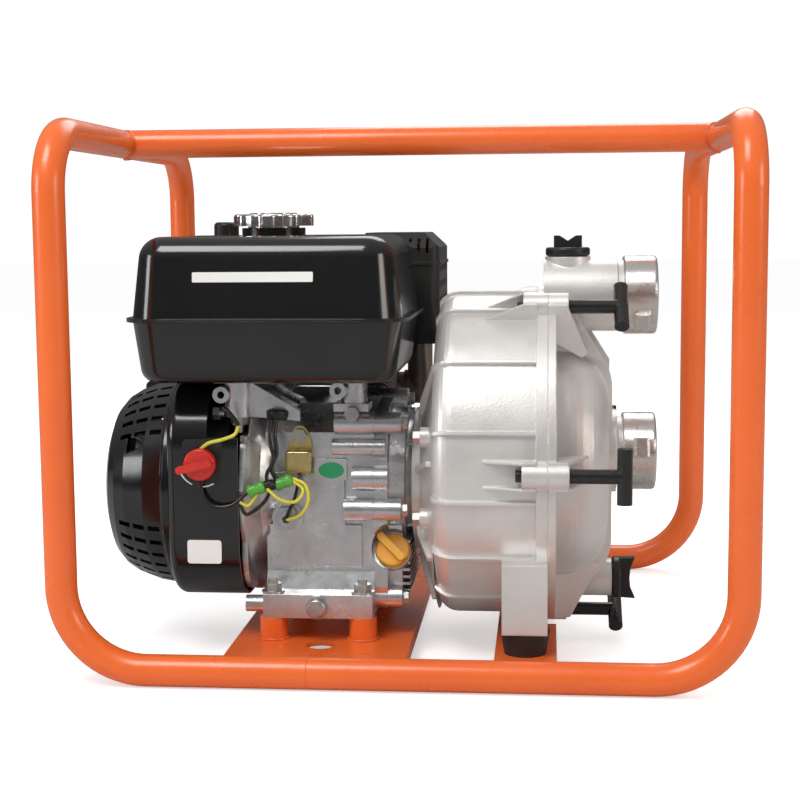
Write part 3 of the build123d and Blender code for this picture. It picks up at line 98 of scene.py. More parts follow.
class Shader(Graph):
    """A new material: one principled shader with procedural textures in object space."""

    def __init__(self, name):
        self.material = bpy.data.materials.new(name)
        self.material.use_nodes = True
        super().__init__(self.material.node_tree)
        self.tree.nodes.clear()
        output = self.node("ShaderNodeOutputMaterial")
        self.principled = self.node("ShaderNodeBsdfPrincipled")
        self.feed(output.inputs[0], self.principled.outputs[0])
        self.place = self.node("ShaderNodeTexCoord").outputs["Object"]

    def set(self, name, value):
        self.feed(self.principled.inputs[name], value)

    def noise(self, scale, detail=4, rough=0.55, distortion=0.0):
        return self.node("ShaderNodeTexNoise", {
            "Scale": scale, "Detail": detail, "Roughness": rough,
            "Distortion": distortion, "Vector": self.place}).outputs["Fac"]

    def voronoi(self, scale):
        inputs = {"Scale": scale, "Vector": self.place}
        return self.node("ShaderNodeTexVoronoi", inputs).outputs["Distance"]

    def wave(self, scale, axis, distortion):
        inputs = {"Scale": scale, "Distortion": distortion, "Vector": self.place}
        return self.node("ShaderNodeTexWave", inputs, bands_direction=axis).outputs["Fac"]

    def ramp(self, factor, black, white):
        """Black below one position, white above the other."""
        node = self.node("ShaderNodeValToRGB", {"Fac": factor})
        for element, position, level in zip(node.color_ramp.elements, (black, white), (0.0, 1.0)):
            element.position = position
            element.color = (level, level, level, 1)
        return node.outputs["Color"]

    def remap(self, value, to=(0.0, 1.0), span=(0.0, 1.0)):
        """Maps the input span linearly on to another."""
        inputs = {0: value, 1: span[0], 2: span[1], 3: to[0], 4: to[1]}
        return self.node("ShaderNodeMapRange", inputs).outputs[0]

    def bump(self, height, strength, distance, normal=None):
        inputs = {"Strength": strength, "Distance": distance, "Height": height}
        if normal is not None:
            inputs["Normal"] = normal
        return self.node("ShaderNodeBump", inputs).outputs[0]

    def bevel(self, radius):
        return self.node("ShaderNodeBevel", {"Radius": radius}, samples=4).outputs[0]

    def edge(self, radius):
        """1 on sharp edges, 0 on flats."""
        rounded = self.bevel(radius)
        true_normal = self.node("ShaderNodeNewGeometry").outputs["Normal"]
        agreement = self.node("ShaderNodeVectorMath", {0: rounded, 1: true_normal},
                              operation="DOT_PRODUCT").outputs["Value"]
        return self.remap(agreement, to=(1.0, 0.0), span=(0.80, 0.995))


# ------------------------------------------------------------------ materials
def surface(name, base, dark, rough, metallic=0.0, coat=0.0, coat_rough=0.08,
            cloud=14.0, cloud_mix=0.6,
            grain=900.0, grain_bump=0.08, grain_depth=0.0002,
            wobble=0.0, wobble_scale=60.0, bevel=0.0005,
            wear=None, wear_mix=0.0, wear_rough=0.35, wear_metal=1.0,
            specular=0.5, lines=None, dirt=None, dirt_mix=0.0, anisotropy=0.0):
    """The general surface.

    base, dark    colours that clouds of noise scale `cloud` blend, up to cloud_mix
    rough         lowest and highest roughness
    grain         scale of the fine bump; grain_bump is its strength, grain_depth in metres
    wobble        strength of the broad unevenness
    bevel         radius in metres to which shading rounds the edges
    wear, dirt    colours of rubbed edges and of stains, each with its share
    lines         machining lines along X: scale, distortion and bump strength
    """
    shader = Shader(name)
    clouds = shader.noise(scale=cloud, detail=5, rough=0.6)
    color = shader.mix(shader.remap(clouds, to=(0.0, cloud_mix), span=(0.3, 0.75)), base, dark)
    roughness = shader.remap(shader.noise(scale=cloud * 3.1, detail=6, rough=0.65),
                             to=rough, span=(0.3, 0.7))
    if dirt is not None:
        stains = shader.noise(scale=28, detail=8, rough=0.7, distortion=0.6)
        stains = shader.ramp(stains, black=0.5, white=0.72)
        color = shader.mix(shader.calc("MULTIPLY", stains, dirt_mix), color, dirt)
    if wear is not None:
        edges = shader.edge(bevel * 2.0)
        chips = shader.ramp(shader.noise(scale=170, detail=6, rough=0.7), black=0.48, white=0.62)
        worn = shader.calc("MULTIPLY", shader.calc("MULTIPLY", edges, chips), wear_mix)
        color = shader.mix(worn, color, wear)
        roughness = shader.mix(worn, roughness, (wear_rough,) * 3)
        metallic = shader.node("ShaderNodeMix", {0: worn, 2: metallic, 3: wear_metal},
                               data_type="FLOAT").outputs[0]
    shader.set("Base Color", color)
    shader.set("Roughness", roughness)
    shader.set("Metallic", metallic)

    normal = shader.bevel(bevel) if bevel else None
    if wobble:
        normal = shader.bump(shader.noise(scale=wobble_scale, detail=2, rough=0.4),
                             strength=wobble, distance=0.002, normal=normal)
    if lines:
        scale, distortion, strength = lines
        normal = shader.bump(shader.wave(scale, "X", distortion),
                             strength=strength, distance=0.0002, normal=normal)
    normal = shader.bump(shader.noise(scale=grain, detail=3, rough=0.6),
                         strength=grain_bump, distance=grain_depth, normal=normal)
    shader.set("Normal", normal)
    shader.set("Specular IOR Level", specular)
    shader.set("Coat Weight", coat)
    shader.set("Coat Roughness", coat_rough)
    shader.set("Anisotropic", anisotropy)
    return shader.material


# Paint
ORANGE = surface(
    "orange_powder_coat", base=(0.86, 0.150, 0.022), dark=(0.66, 0.095, 0.012),
    rough=(0.24, 0.38), coat=0.35, coat_rough=0.16, cloud=9, cloud_mix=0.45,
    grain=1500, grain_bump=0.10, grain_depth=0.00025, wobble=0.12, wobble_scale=90,
    bevel=0.0008, wear=(0.30, 0.11, 0.05), wear_mix=0.35, wear_rough=0.6, wear_metal=0.1)
WELD = surface(
    "orange_weld", base=(0.80, 0.135, 0.02), dark=(0.50, 0.075, 0.010), rough=(0.25, 0.45),
    coat=0.3, coat_rough=0.2, cloud=60, cloud_mix=0.7,
    grain=700, grain_bump=0.3, grain_depth=0.0005, bevel=0)
BLACK_GLOSS = surface(
    "gloss_black_enamel", base=(0.0045, 0.0045, 0.005), dark=(0.010, 0.010, 0.011),
    rough=(0.12, 0.22), coat=0.4, coat_rough=0.07, cloud=12, cloud_mix=0.5,
    grain=1100, grain_bump=0.05, wobble=0.10, wobble_scale=38,
    bevel=0.0009, wear=(0.10, 0.10, 0.10), wear_mix=0.18, wear_rough=0.4, wear_metal=0.5)
BLACK_SATIN = surface(
    "satin_black_paint", base=(0.012, 0.012, 0.012), dark=(0.022, 0.021, 0.020),
    rough=(0.36, 0.52), coat=0.15, coat_rough=0.3, cloud=18,
    grain=1300, grain_bump=0.15, grain_depth=0.0003,
    bevel=0.0006, wear=(0.10, 0.09, 0.08), wear_mix=0.35, wear_rough=0.5, wear_metal=0.6)
HANDLE = surface(
    "black_coated_handle", base=(0.007, 0.007, 0.0075), dark=(0.018, 0.018, 0.018),
    rough=(0.18, 0.34), coat=0.35, coat_rough=0.12, cloud=45,
    grain=1100, grain_bump=0.10, grain_depth=0.0003,
    bevel=0.0007, wear=(0.08, 0.08, 0.08), wear_mix=0.3, wear_rough=0.4, wear_metal=0.3)

# Metal
ALU_DIE = surface(
    "die_cast_aluminium", base=(0.80, 0.805, 0.82), dark=(0.50, 0.50, 0.52),
    rough=(0.22, 0.42), metallic=0.95, cloud=24, cloud_mix=0.75,
    grain=820, grain_bump=0.28, grain_depth=0.00035, wobble=0.16, wobble_scale=75,
    bevel=0.0008, wear=(0.85, 0.85, 0.86), wear_mix=0.6, wear_rough=0.25,
    dirt=(0.23, 0.22, 0.21), dirt_mix=0.25)
ALU_PUMP = surface(
    "sand_cast_aluminium", base=(0.86, 0.85, 0.83), dark=(0.66, 0.64, 0.615),
    rough=(0.32, 0.46), metallic=0.62, cloud=11, cloud_mix=0.65,
    grain=620, grain_bump=0.42, grain_depth=0.00045, wobble=0.14, wobble_scale=48,
    bevel=0.0014, wear=(0.88, 0.87, 0.85), wear_mix=0.4, wear_rough=0.3, wear_metal=0.9,
    dirt=(0.40, 0.37, 0.34), dirt_mix=0.12)
ALU_TURNED = surface(
    "turned_aluminium", base=(0.80, 0.78, 0.75), dark=(0.62, 0.60, 0.575),
    rough=(0.20, 0.32), metallic=0.95, cloud=16, grain=1200, grain_bump=0.06,
    lines=(900, 0.3, 0.25), bevel=0.0007, anisotropy=0.4)
STEEL = surface(
    "zinc_steel", base=(0.62, 0.62, 0.60), dark=(0.40, 0.40, 0.40), rough=(0.24, 0.42),
    metallic=0.97, cloud=60, cloud_mix=0.7, grain=1600, grain_bump=0.12,
    bevel=0.0004, wear=(0.8, 0.8, 0.8), wear_mix=0.5, dirt=(0.15, 0.12, 0.09), dirt_mix=0.3)
GROUND = surface(
    "ground_steel", base=(0.58, 0.58, 0.59), dark=(0.42, 0.42, 0.43), rough=(0.18, 0.34),
    metallic=1.0, cloud=40, cloud_mix=0.5, grain=1600, grain_bump=0.05,
    lines=(1200, 0.6, 0.2), bevel=0.0004)
CHROME = surface(
    "polished_cap", base=(0.82, 0.82, 0.82), dark=(0.66, 0.66, 0.67), rough=(0.07, 0.18),
    metallic=1.0, cloud=30, cloud_mix=0.5, grain=1500, grain_bump=0.03,
    wobble=0.05, wobble_scale=120, bevel=0.0006)
IRON = surface(
    "cast_iron", base=(0.10, 0.10, 0.105), dark=(0.045, 0.044, 0.045), rough=(0.42, 0.62),
    metallic=0.8, cloud=30, cloud_mix=0.8, grain=700, grain_bump=0.45, grain_depth=0.0005,
    bevel=0.0007)
HEAT_STEEL = surface(
    "heat_tinted_steel", base=(0.42, 0.37, 0.32), dark=(0.20, 0.15, 0.13), rough=(0.3, 0.5),
    metallic=0.95, cloud=18, cloud_mix=0.9, grain=1200, grain_bump=0.12, bevel=0.0006)
GOLD = surface(
    "yellow_passivated_zinc", base=(0.72, 0.52, 0.20), dark=(0.52, 0.50, 0.28),
    rough=(0.22, 0.38), metallic=0.95, cloud=55, cloud_mix=0.9, grain=1500,
    wear=(0.85, 0.78, 0.55), wear_mix=0.5)

# Rubber, plastic and ceramic
RUBBER = surface(
    "moulded_rubber", base=(0.014, 0.014, 0.014), dark=(0.028, 0.027, 0.026),
    rough=(0.42, 0.62), cloud=40, grain=1500, grain_bump=0.25, grain_depth=0.0003,
    bevel=0.0007, specular=0.45)
PLASTIC = surface(
    "moulded_black_plastic", base=(0.010, 0.010, 0.0105), dark=(0.020, 0.020, 0.020),
    rough=(0.30, 0.46), cloud=26, grain=1700, grain_bump=0.22, grain_depth=0.00025,
    bevel=0.0006)
PLASTIC_GLOSS = surface(
    "glossy_black_plastic", base=(0.006, 0.006, 0.0065), dark=(0.014, 0.014, 0.014),
    rough=(0.14, 0.26), coat=0.3, cloud=18, cloud_mix=0.5, grain=1500, grain_bump=0.06,
    wobble=0.06, bevel=0.0008)
RED = surface(
    "red_plastic", base=(0.62, 0.022, 0.012), dark=(0.42, 0.012, 0.008), rough=(0.22, 0.36),
    coat=0.2, cloud=60, grain=1500, grain_bump=0.10,
    bevel=0.0006, wear=(0.78, 0.16, 0.12), wear_mix=0.4, wear_rough=0.5, wear_metal=0)
AMBER = surface(
    "amber_plastic", base=(0.83, 0.40, 0.022), dark=(0.66, 0.28, 0.012), rough=(0.25, 0.40),
    coat=0.15, cloud=70, cloud_mix=0.7, grain=1500, grain_bump=0.12,
    bevel=0.0006, wear=(0.90, 0.58, 0.15), wear_mix=0.4, wear_rough=0.5, wear_metal=0)
CERAMIC = surface(
    "white_ceramic", base=(0.80, 0.79, 0.75), dark=(0.66, 0.65, 0.60), rough=(0.12, 0.25),
    coat=0.4, cloud=50, cloud_mix=0.5, grain=1500, grain_bump=0.04, bevel=0.0004)
CREAM = surface(
    "cream_gasket", base=(0.78, 0.70, 0.52), dark=(0.60, 0.52, 0.36), rough=(0.45, 0.6),
    cloud=80, grain=1400, grain_bump=0.2, bevel=0.0003)

# Wiring
GREEN = surface(
    "green_connector", base=(0.10, 0.42, 0.055), dark=(0.05, 0.27, 0.03), rough=(0.22, 0.36),
    coat=0.3, cloud=90, cloud_mix=0.7, grain=1300, grain_bump=0.10)
YELLOW = surface(
    "yellow_green_wire", base=(0.72, 0.62, 0.05), dark=(0.45, 0.52, 0.05),
    rough=(0.28, 0.42), cloud=120, cloud_mix=0.7, grain=1400, bevel=0)
BLACK_WIRE = surface(
    "black_wire", base=(0.008, 0.008, 0.008), dark=(0.02, 0.02, 0.02), rough=(0.22, 0.40),
    coat=0.2, cloud=120, cloud_mix=0.7, grain=1200, grain_bump=0.12, bevel=0)


def rope_material():
    """Two crossed waves give the braid."""
    shader = Shader("braided_rope")
    braid = shader.calc("MULTIPLY", shader.wave(scale=520, axis="Z", distortion=1.2),
                        shader.wave(scale=520, axis="DIAGONAL", distortion=0.8))
    shader.set("Base Color", shader.mix(shader.remap(braid, span=(0.1, 0.9)),
                                        (0.012, 0.012, 0.012), (0.06, 0.06, 0.058)))
    shader.set("Roughness", shader.remap(shader.noise(scale=400, detail=5), to=(0.55, 0.8)))
    shader.set("Normal", shader.bump(braid, strength=0.6, distance=0.0006))
    shader.set("Sheen Weight", 0.3)
    return shader.material


def foam_material():
    shader = Shader("open_cell_foam")
    cells = shader.voronoi(scale=650)
    shader.set("Base Color", shader.mix(shader.remap(cells, span=(0, 0.6)),
                                        (0.05, 0.045, 0.035), (0.22, 0.20, 0.15)))
    shader.set("Roughness", 0.9)
    shader.set("Normal", shader.bump(cells, strength=0.8, distance=0.001))
    return shader.material


def sticker(name, base):
    """A printed label: flat colour with paper mottling."""
    shader = Shader(name)
    mottling = shader.remap(shader.noise(scale=60, detail=5), to=(0, 0.35))
    shader.set("Base Color", shader.mix(mottling, base, tuple(c * 0.82 for c in base)))
    shader.set("Roughness", shader.remap(shader.noise(scale=300), to=(0.22, 0.42)))
    shader.set("Normal", shader.bump(shader.noise(scale=1500, detail=3),
                                     strength=0.06, distance=0.0002))
    return shader.material


def gold_above_steel():
    """The yellow-plated module above, a plain steel level sensor below."""
    material = GOLD.copy()
    material.name = "gold_module_steel_sensor"
    graph = Graph(material.node_tree)
    principled = next(n for n in graph.tree.nodes if n.type == "BSDF_PRINCIPLED")
    plating = principled.inputs["Base Color"].links[0].from_socket
    place = graph.node("ShaderNodeTexCoord").outputs["Object"]
    height = graph.node("ShaderNodeSeparateXYZ", {0: place}).outputs["Z"]
    sensor = graph.calc("LESS_THAN", height, 0.140)
    graph.feed(principled.inputs["Base Color"], graph.mix(sensor, plating, (0.55, 0.55, 0.56)))
    return material


ROPE = rope_material()
FOAM = foam_material()
WHITE_STICKER = sticker("white_sticker", base=(0.82, 0.82, 0.80))
GREEN_STICKER = sticker("green_sticker", base=(0.02, 0.33, 0.13))

# Material of each slot, and the pieces that depart from their slot's material
SLOT_MATERIALS = {
    "frame_orange": ORANGE, "zinc_steel": STEEL, "black_rubber": RUBBER,
    "cast_aluminium": ALU_DIE, "machined_steel": GROUND, "painted_black": BLACK_GLOSS,
    "cast_iron": IRON, "black_plastic": PLASTIC, "gloss_black_plastic": PLASTIC_GLOSS,
    "red_plastic": RED, "amber_plastic": AMBER, "ceramic_white": CERAMIC,
    "gold_zinc": GOLD, "wire_insulation": BLACK_WIRE, "polished_metal": CHROME,
    "rope": ROPE, "filter_foam": FOAM}
PIECE_MATERIALS = {
    "pump_casing": ALU_PUMP, "pump_cover": ALU_PUMP, "pump_bracket": ALU_PUMP,
    "suction_collar": ALU_TURNED, "discharge_collar": ALU_TURNED,
    "muffler_guard": BLACK_SATIN, "muffler": HEAT_STEEL, "rocker_cover": BLACK_SATIN,
    "recoil_cover": BLACK_GLOSS, "fill_plug": PLASTIC, "drain_plug": PLASTIC,
    "crankshaft": GROUND, "oil_alert": gold_above_steel(),
    **{f"clamp_bolt_{i}": HANDLE for i in range(1, 6)}}


def paint_cad_pieces():
    slot_of = {part["node"]: part["material_slot"] for part in frame["record"]["subparts"]}
    for name, ob in NODES.items():
        material = PIECE_MATERIALS.get(name) or SLOT_MATERIALS[slot_of[name]]
        if not ob.material_slots:
            ob.data.materials.append(material)
        for slot in ob.material_slots:
            slot.material = material


paint_cad_pieces()


# ------------------------------------------------------------------ mesh tools
# A shape is a pair (vertices in metres, faces).
def piece(name, shape, material, smooth=True, body="machine"):
    verts, faces = shape
    mesh = bpy.data.meshes.new(name)
    mesh.from_pydata([tuple(v) for v in verts], [], faces)
    mesh.validate()
    bm = bmesh.new()
    bm.from_mesh(mesh)
    bmesh.ops.recalc_face_normals(bm, faces=bm.faces)
    bm.to_mesh(mesh)
    bm.free()
    for polygon in mesh.polygons:
        polygon.use_smooth = smooth
    ob = bpy.data.objects.new(name, mesh)
    scene.collection.objects.link(ob)
    mesh.materials.append(material)
    if body:
        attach(ob, body)
    return ob


def metres(points):
    return [Vector(p) * MM for p in points]


def circle_angles(count):
    return [2 * pi * i / count for i in range(count)]


def catmull(points, steps=10):
    """Smooth path through the points, with so many steps between neighbours."""
    extended = [points[0] * 2 - points[1]] + points + [points[-1] * 2 - points[-2]]
    path = []
    for i in range(1, len(extended) - 2):
        p0, p1, p2, p3 = extended[i - 1:i + 3]
        for k in range(steps):
            t = k / steps
            path.append(0.5 * ((2 * p1) + (p2 - p0) * t
                               + (2 * p0 - 5 * p1 + 4 * p2 - p3) * t * t
                               + (3 * p1 - p0 - 3 * p2 + p3) * t ** 3))
    path.append(points[-1])
    return path


def tube(path, radius, segments, closed=False, squash=1.0):
    """Sweeps a circle along the path; radius may be a function of the fraction along it."""
    count = len(path)
    verts, faces = [], []
    previous = (path[1] - path[0]).normalized()
    side = previous.cross(Vector((0, 0, 1)))
    if side.length < 1e-3:
        side = previous.cross(Vector((1, 0, 0)))
    side.normalize()
    for i, point in enumerate(path):
        if closed:
            tangent = path[(i + 1) % count] - path[i - 1]
        else:
            tangent = path[min(i + 1, count - 1)] - path[max(i - 1, 0)]
        tangent.normalize()
        # turn the side vector with the path so that the tube does not twist
        turn_axis = previous.cross(tangent)
        if turn_axis.length > 1e-7:
            turn = Matrix.Rotation(previous.angle(tangent), 3, turn_axis.normalized())
            side = turn @ side
        previous = tangent
        other = tangent.cross(side).normalized()
        ring_radius = radius(i / (count - 1)) if callable(radius) else radius
        for a in circle_angles(segments):
            verts.append(point + (side * cos(a) + other * sin(a) * squash) * ring_radius)
    for i in range(count if closed else count - 1):
        here, beyond = i * segments, (i + 1) % count * segments
        for k in range(segments):
            after = (k + 1) % segments
            faces.append((here + k, here + after, beyond + after, beyond + k))
    if not closed:
        faces.append(tuple(range(segments - 1, -1, -1)))
        faces.append(tuple(range((count - 1) * segments, count * segments)))
    return verts, faces


def merge(shapes):
    all_verts, all_faces = [], []
    for verts, faces in shapes:
        offset = len(all_verts)
        all_verts += verts
        all_faces += [tuple(i + offset for i in face) for face in faces]
    return all_verts, all_faces


def bridge(first, second):
    """Closed prism between two matching outlines."""
    n = len(first)
    faces = [(i, (i + 1) % n, n + (i + 1) % n, n + i) for i in range(n)]
    faces += [tuple(range(n - 1, -1, -1)), tuple(range(n, 2 * n))]
    return first + second, faces


def bead(points, radius, pitch, closed=False):
    """Weld bead: a low tube whose surface steps like laid drops. Sizes in mm."""
    steps_per_drop = 5
    corners = metres(points)
    if closed:
        corners.append(corners[0])
    path = []
    for start, end in zip(corners, corners[1:]):
        steps = max(1, int((end - start).length / (pitch * MM / steps_per_drop)))
        path += [start.lerp(end, i / steps) for i in range(steps)]
    if not closed:
        path.append(corners[-1])
    rng = random.Random(len(points) * 7 + int(radius * 100))
    jitter = [rng.uniform(-0.08, 0.08) for _ in range(len(path) // steps_per_drop + 2)]

    def drop_radius(fraction):
        drops = fraction * (len(path) - 1) / steps_per_drop
        crown = sqrt(max(0.0, 1 - (2 * (drops % 1.0) - 0.75) ** 2 / 1.6))
        size = 0.84 + 0.20 * crown + jitter[int(drops)]
        taper = 1.0 if closed else min(1.0, 0.5 + 6 * min(fraction, 1 - fraction))
        return radius * MM * size * taper

    return tube(path, drop_radius, 10, closed)


# ------------------------------------------------------------------ frame welds
TUBE_R = 12.7
END_X = 266.5           # centre line of the end tubes, at +x and -x
RAIL_Y = 221.7          # centre line of the skid rails, at +y and -y
CARRY_Z = 436.5         # centre line of the carry rail
BUTT_X = -70            # joint of each hoop
BUTT_R = TUBE_R - 0.15
PLATE_TOP = 18
PLATE_STITCHES = ((-138, -112), (-88, -52), (-26, 0), (78, 122))    # x from, x to
SPACER_X = (-111.75, -36.25)
SPACER_Y = (-136, 26)
SPACER_WELD_R = 12.3


def carry_rail_weld(side):
    """Saddle line where the carry rail meets the end tube."""
    points = []
    for a in circle_angles(28):
        y = TUBE_R * cos(a) * 1.04
        rise = TUBE_R * sin(a) * 1.04
        reach = sqrt(max(0.0, (TUBE_R * 1.03) ** 2 - rise * rise))
        points.append((side * (END_X - reach), y, CARRY_Z + rise))
    return bead(points, radius=1.35, pitch=2.4, closed=True)


def hoop_weld(side):
    """Butt weld round the skid rail, open where it nears the floor."""
    ring = [(BUTT_X, side * RAIL_Y + BUTT_R * cos(a), TUBE_R + BUTT_R * sin(a))
            for a in circle_angles(26)]
    return bead([p for p in ring if p[2] > 1.0], radius=0.45, pitch=2.2)


def plate_welds(side):
    """Stitches between the plates' top edge and the skid rail."""
    y = side * (RAIL_Y - sqrt(TUBE_R * TUBE_R - (PLATE_TOP - TUBE_R) ** 2) - 0.2)
    z = PLATE_TOP + 0.4
    return [bead([(x0, y, z), (x1, y, z)], radius=2.1, pitch=2.8) for x0, x1 in PLATE_STITCHES]


def spacer_weld(x, y):
    ring = [(x + SPACER_WELD_R * cos(a), y + SPACER_WELD_R * sin(a), PLATE_TOP + 0.6)
            for a in circle_angles(22)]
    return bead(ring, radius=1.5, pitch=2.5, closed=True)


def build_welds():
    sides = (-1, 1)
    welds = [carry_rail_weld(side) for side in sides]
    welds += [hoop_weld(side) for side in sides]
    for side in sides:
        welds += plate_welds(side)
    welds += [spacer_weld(x, y) for y in SPACER_Y for x in SPACER_X]
    verts, faces = merge(welds)
    # keep the beads inside the frame's own outline
    high = (END_X + TUBE_R, RAIL_Y + TUBE_R, CARRY_Z + TUBE_R)
    low = (-high[0], -high[1], 0.0)
    inside = [Vector([max(a, min(b, c / MM)) for a, b, c in zip(low, high, v)]) * MM * 0.99999
              for v in verts]
    piece("frame_weld_beads", (inside, faces), WELD)


build_welds()

# ------------------------------------------------------------------ wires
# Each wire: radius, then the points (x, y, z) it runs through
BLACK_WIRES = (
    (2.1, [(-107, -133, 207), (-108, -139, 190), (-106, -143, 176), (-110, -145, 164),
           (-106, -146, 154)]),
    (1.6, [(-111, -132.5, 206), (-112, -140, 188), (-108, -146, 170), (-113, -148, 160),
           (-113, -150, 151)]),
    (1.6, [(-128, -152.5, 145), (-142, -158, 134), (-158, -159, 134), (-166, -157.5, 144),
           (-167, -155.6, 156)]),
    (1.4, [(-89, -130, 158), (-90, -136, 146), (-93, -139, 134), (-97, -140, 126),
           (-99.5, -138, 120)]),
    (1.6, [(-136, -154.5, 143), (-134, -154, 132.5), (-129.6, -153.5, 126),
           (-119, -153, 132.5), (-112.5, -151.8, 140), (-110, -151, 148.5)]),
    (2.0, [(-135.2, -153.6, 199.5), (-139, -153.5, 205.5), (-144, -152, 211),
           (-148.5, -149.5, 214)]),
)
YELLOW_WIRES = (
    (1.5, [(-167, -155.6, 180), (-159, -159.5, 186), (-147, -159, 189), (-137.8, -156, 193),
           (-135.2, -153.6, 200.5)]),
    (1.4, [(-136, -155, 138), (-133, -155, 135), (-127.8, -154.5, 133.5), (-122, -153.5, 141),
           (-120, -153, 145)]),
    (1.4, [(-113, -154, 148), (-101, -157, 139), (-89, -154, 137), (-83, -150, 146),
           (-92, -146, 153)]),
    (1.4, [(-92, -146, 155), (-81, -150, 150), (-79, -150, 136), (-87, -147, 124),
           (-98.5, -141, 119)]),
)
SLEEVE_POINTS = ((-107, -147, 150), (-111, -150.5, 150), (-115, -152, 149))
CLIP_POINTS = ((-115, -130.5, 206), (-109, -136.5, 207), (-103, -135, 206.5), (-99, -130.6, 205))
# Both ends of each connector, and its profile: fraction of the length, radius
CONNECTOR_ENDS = (((-129, -152.5, 144), (-114, -152.5, 149.5)),
                  ((-107.5, -146, 148.5), (-92.5, -146, 154.5)))
CONNECTOR_PROFILE = ((0.0, 2.6), (0.06, 4.6), (0.12, 5.2), (0.30, 5.2), (0.34, 4.7),
                     (0.62, 4.7), (0.66, 5.3), (0.86, 5.3), (0.94, 4.4), (1.0, 2.4))


def wires(name, table, material):
    shapes = [tube(catmull(metres(points), steps=12), radius * MM, 12)
              for radius, points in table]
    return piece(name, merge(shapes), material)


def connector(start, end):
    start, end = metres((start, end))
    last = len(CONNECTOR_PROFILE) - 1
    return tube([start.lerp(end, station) for station, _ in CONNECTOR_PROFILE],
                lambda fraction: CONNECTOR_PROFILE[round(fraction * last)][1] * MM, 18)


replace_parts(wires("wires_black", BLACK_WIRES, BLACK_WIRE), "wiring")
wires("wires_yellow", YELLOW_WIRES, YELLOW)
# the sleeve's radius ripples along its length
piece("connector_sleeve",
      tube(catmull(metres(SLEEVE_POINTS)), lambda t: (4.4 + 0.35 * sin(t * 40)) * MM, 16),
      BLACK_WIRE)
piece("wire_connectors", merge([connector(*ends) for ends in CONNECTOR_ENDS]),
      GREEN)
# cable clip on the tank arm
piece("cable_clip", tube(catmull(metres(CLIP_POINTS)), 1.3 * MM, 10, squash=3.0),
      PLASTIC)

# ------------------------------------------------------------------ starter rope
STRANDS = 3
STRAND_R = 0.00098
STRAND_OFFSET = 0.0009      # strand centre from rope centre
ROPE_TURNS = 7
ROPE_STEPS = 90


def build_rope():
    """Three laid strands in place of the plain CAD rope."""
    low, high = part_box("starter_rope")
    x, y = (low.x + high.x) / 2, (low.y + high.y) / 2
    strands = []
    for strand in range(STRANDS):
        path = []
        for i in range(ROPE_STEPS + 1):
            t = i / ROPE_STEPS
            a = 2 * pi * (strand / STRANDS + t * ROPE_TURNS)
            path.append(Vector((x + STRAND_OFFSET * cos(a), y + STRAND_OFFSET * sin(a),
                                low.z + (high.z - low.z) * t)))
        strands.append(tube(path, STRAND_R, 8))
    rope = piece("starter_rope_laid", merge(strands), ROPE, body=None)
    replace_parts(rope, "starter_rope")
    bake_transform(rope)


build_rope()

# ------------------------------------------------------------------ stickers and gasket
STRIPE_Z = (317.8, 325.8)
HOUSING_LABEL_Y = (-152.05, -152.05)
OVAL_CENTRE, OVAL_SIZE = (-63, 158.5), (21.5, 13.6)     # x, z
OVAL_BACK_FRONT = (-124.75, -124.5)                     # y of the two faces
SWITCH_X, SWITCH_Z = -167.0, 168.0
MARK_R, MARK_Y = 19.5, -152.25
MARK_ARCS = ((205, 245), (262, 300))                    # degrees from, to
MARK_STEPS = 8


def tank_front(z):
    """y just in front of the tank's sloping front face."""
    return -180.0 + (z - 288.5) * 0.122785 - 0.05


def rounded_rectangle(width, height, radius, steps=5):
    """Outline with its lower left corner at the origin."""
    points = []
    for sx, sz, start in ((1, 1, 0), (-1, 1, 90), (-1, -1, 180), (1, -1, 270)):
        for i in range(steps + 1):
            a = radians(start + 90 * i / steps)
            points.append((width / 2 + sx * (width / 2 - radius) + radius * cos(a),
                           height / 2 + sz * (height / 2 - radius) + radius * sin(a)))
    return points


def slab(name, x_span, y_span, z_span, half_depth, material):
    """Thin plate with rounded corners; y_span is y at its lower and upper edges."""
    corner = Vector((x_span[0], y_span[0], z_span[0]))
    across = Vector((x_span[1], y_span[0], z_span[0])) - corner
    up = Vector((x_span[0], y_span[1], z_span[1])) - corner
    offset = across.cross(up).normalized() * half_depth
    width, height = across.length, up.length
    outline = [corner + across * (a / width) + up * (b / height)
               for a, b in rounded_rectangle(width, height, min(width, height) * 0.12)]
    shape = bridge([(p - offset) * MM for p in outline], [(p + offset) * MM for p in outline])
    piece(name, shape, material, smooth=False)


def inspection_oval():
    (x, z), (width, height) = OVAL_CENTRE, OVAL_SIZE
    faces = [metres([(x + width / 2 * cos(a), y, z + height / 2 * sin(a))
                     for a in circle_angles(40)]) for y in OVAL_BACK_FRONT]
    piece("inspection_oval", bridge(*faces), GREEN_STICKER, smooth=False)


def switch_marks():
    """Two printed arcs below the switch centre."""
    marks = []
    for start, end in MARK_ARCS:
        angles = [radians(start + (end - start) * k / MARK_STEPS) for k in range(MARK_STEPS + 1)]
        path = metres([(SWITCH_X + MARK_R * cos(a), MARK_Y, SWITCH_Z + MARK_R * sin(a))
                       for a in angles])
        marks.append(tube(path, 0.22 * MM, 6, squash=3.0))
    piece("switch_marks", merge(marks), WHITE_STICKER)


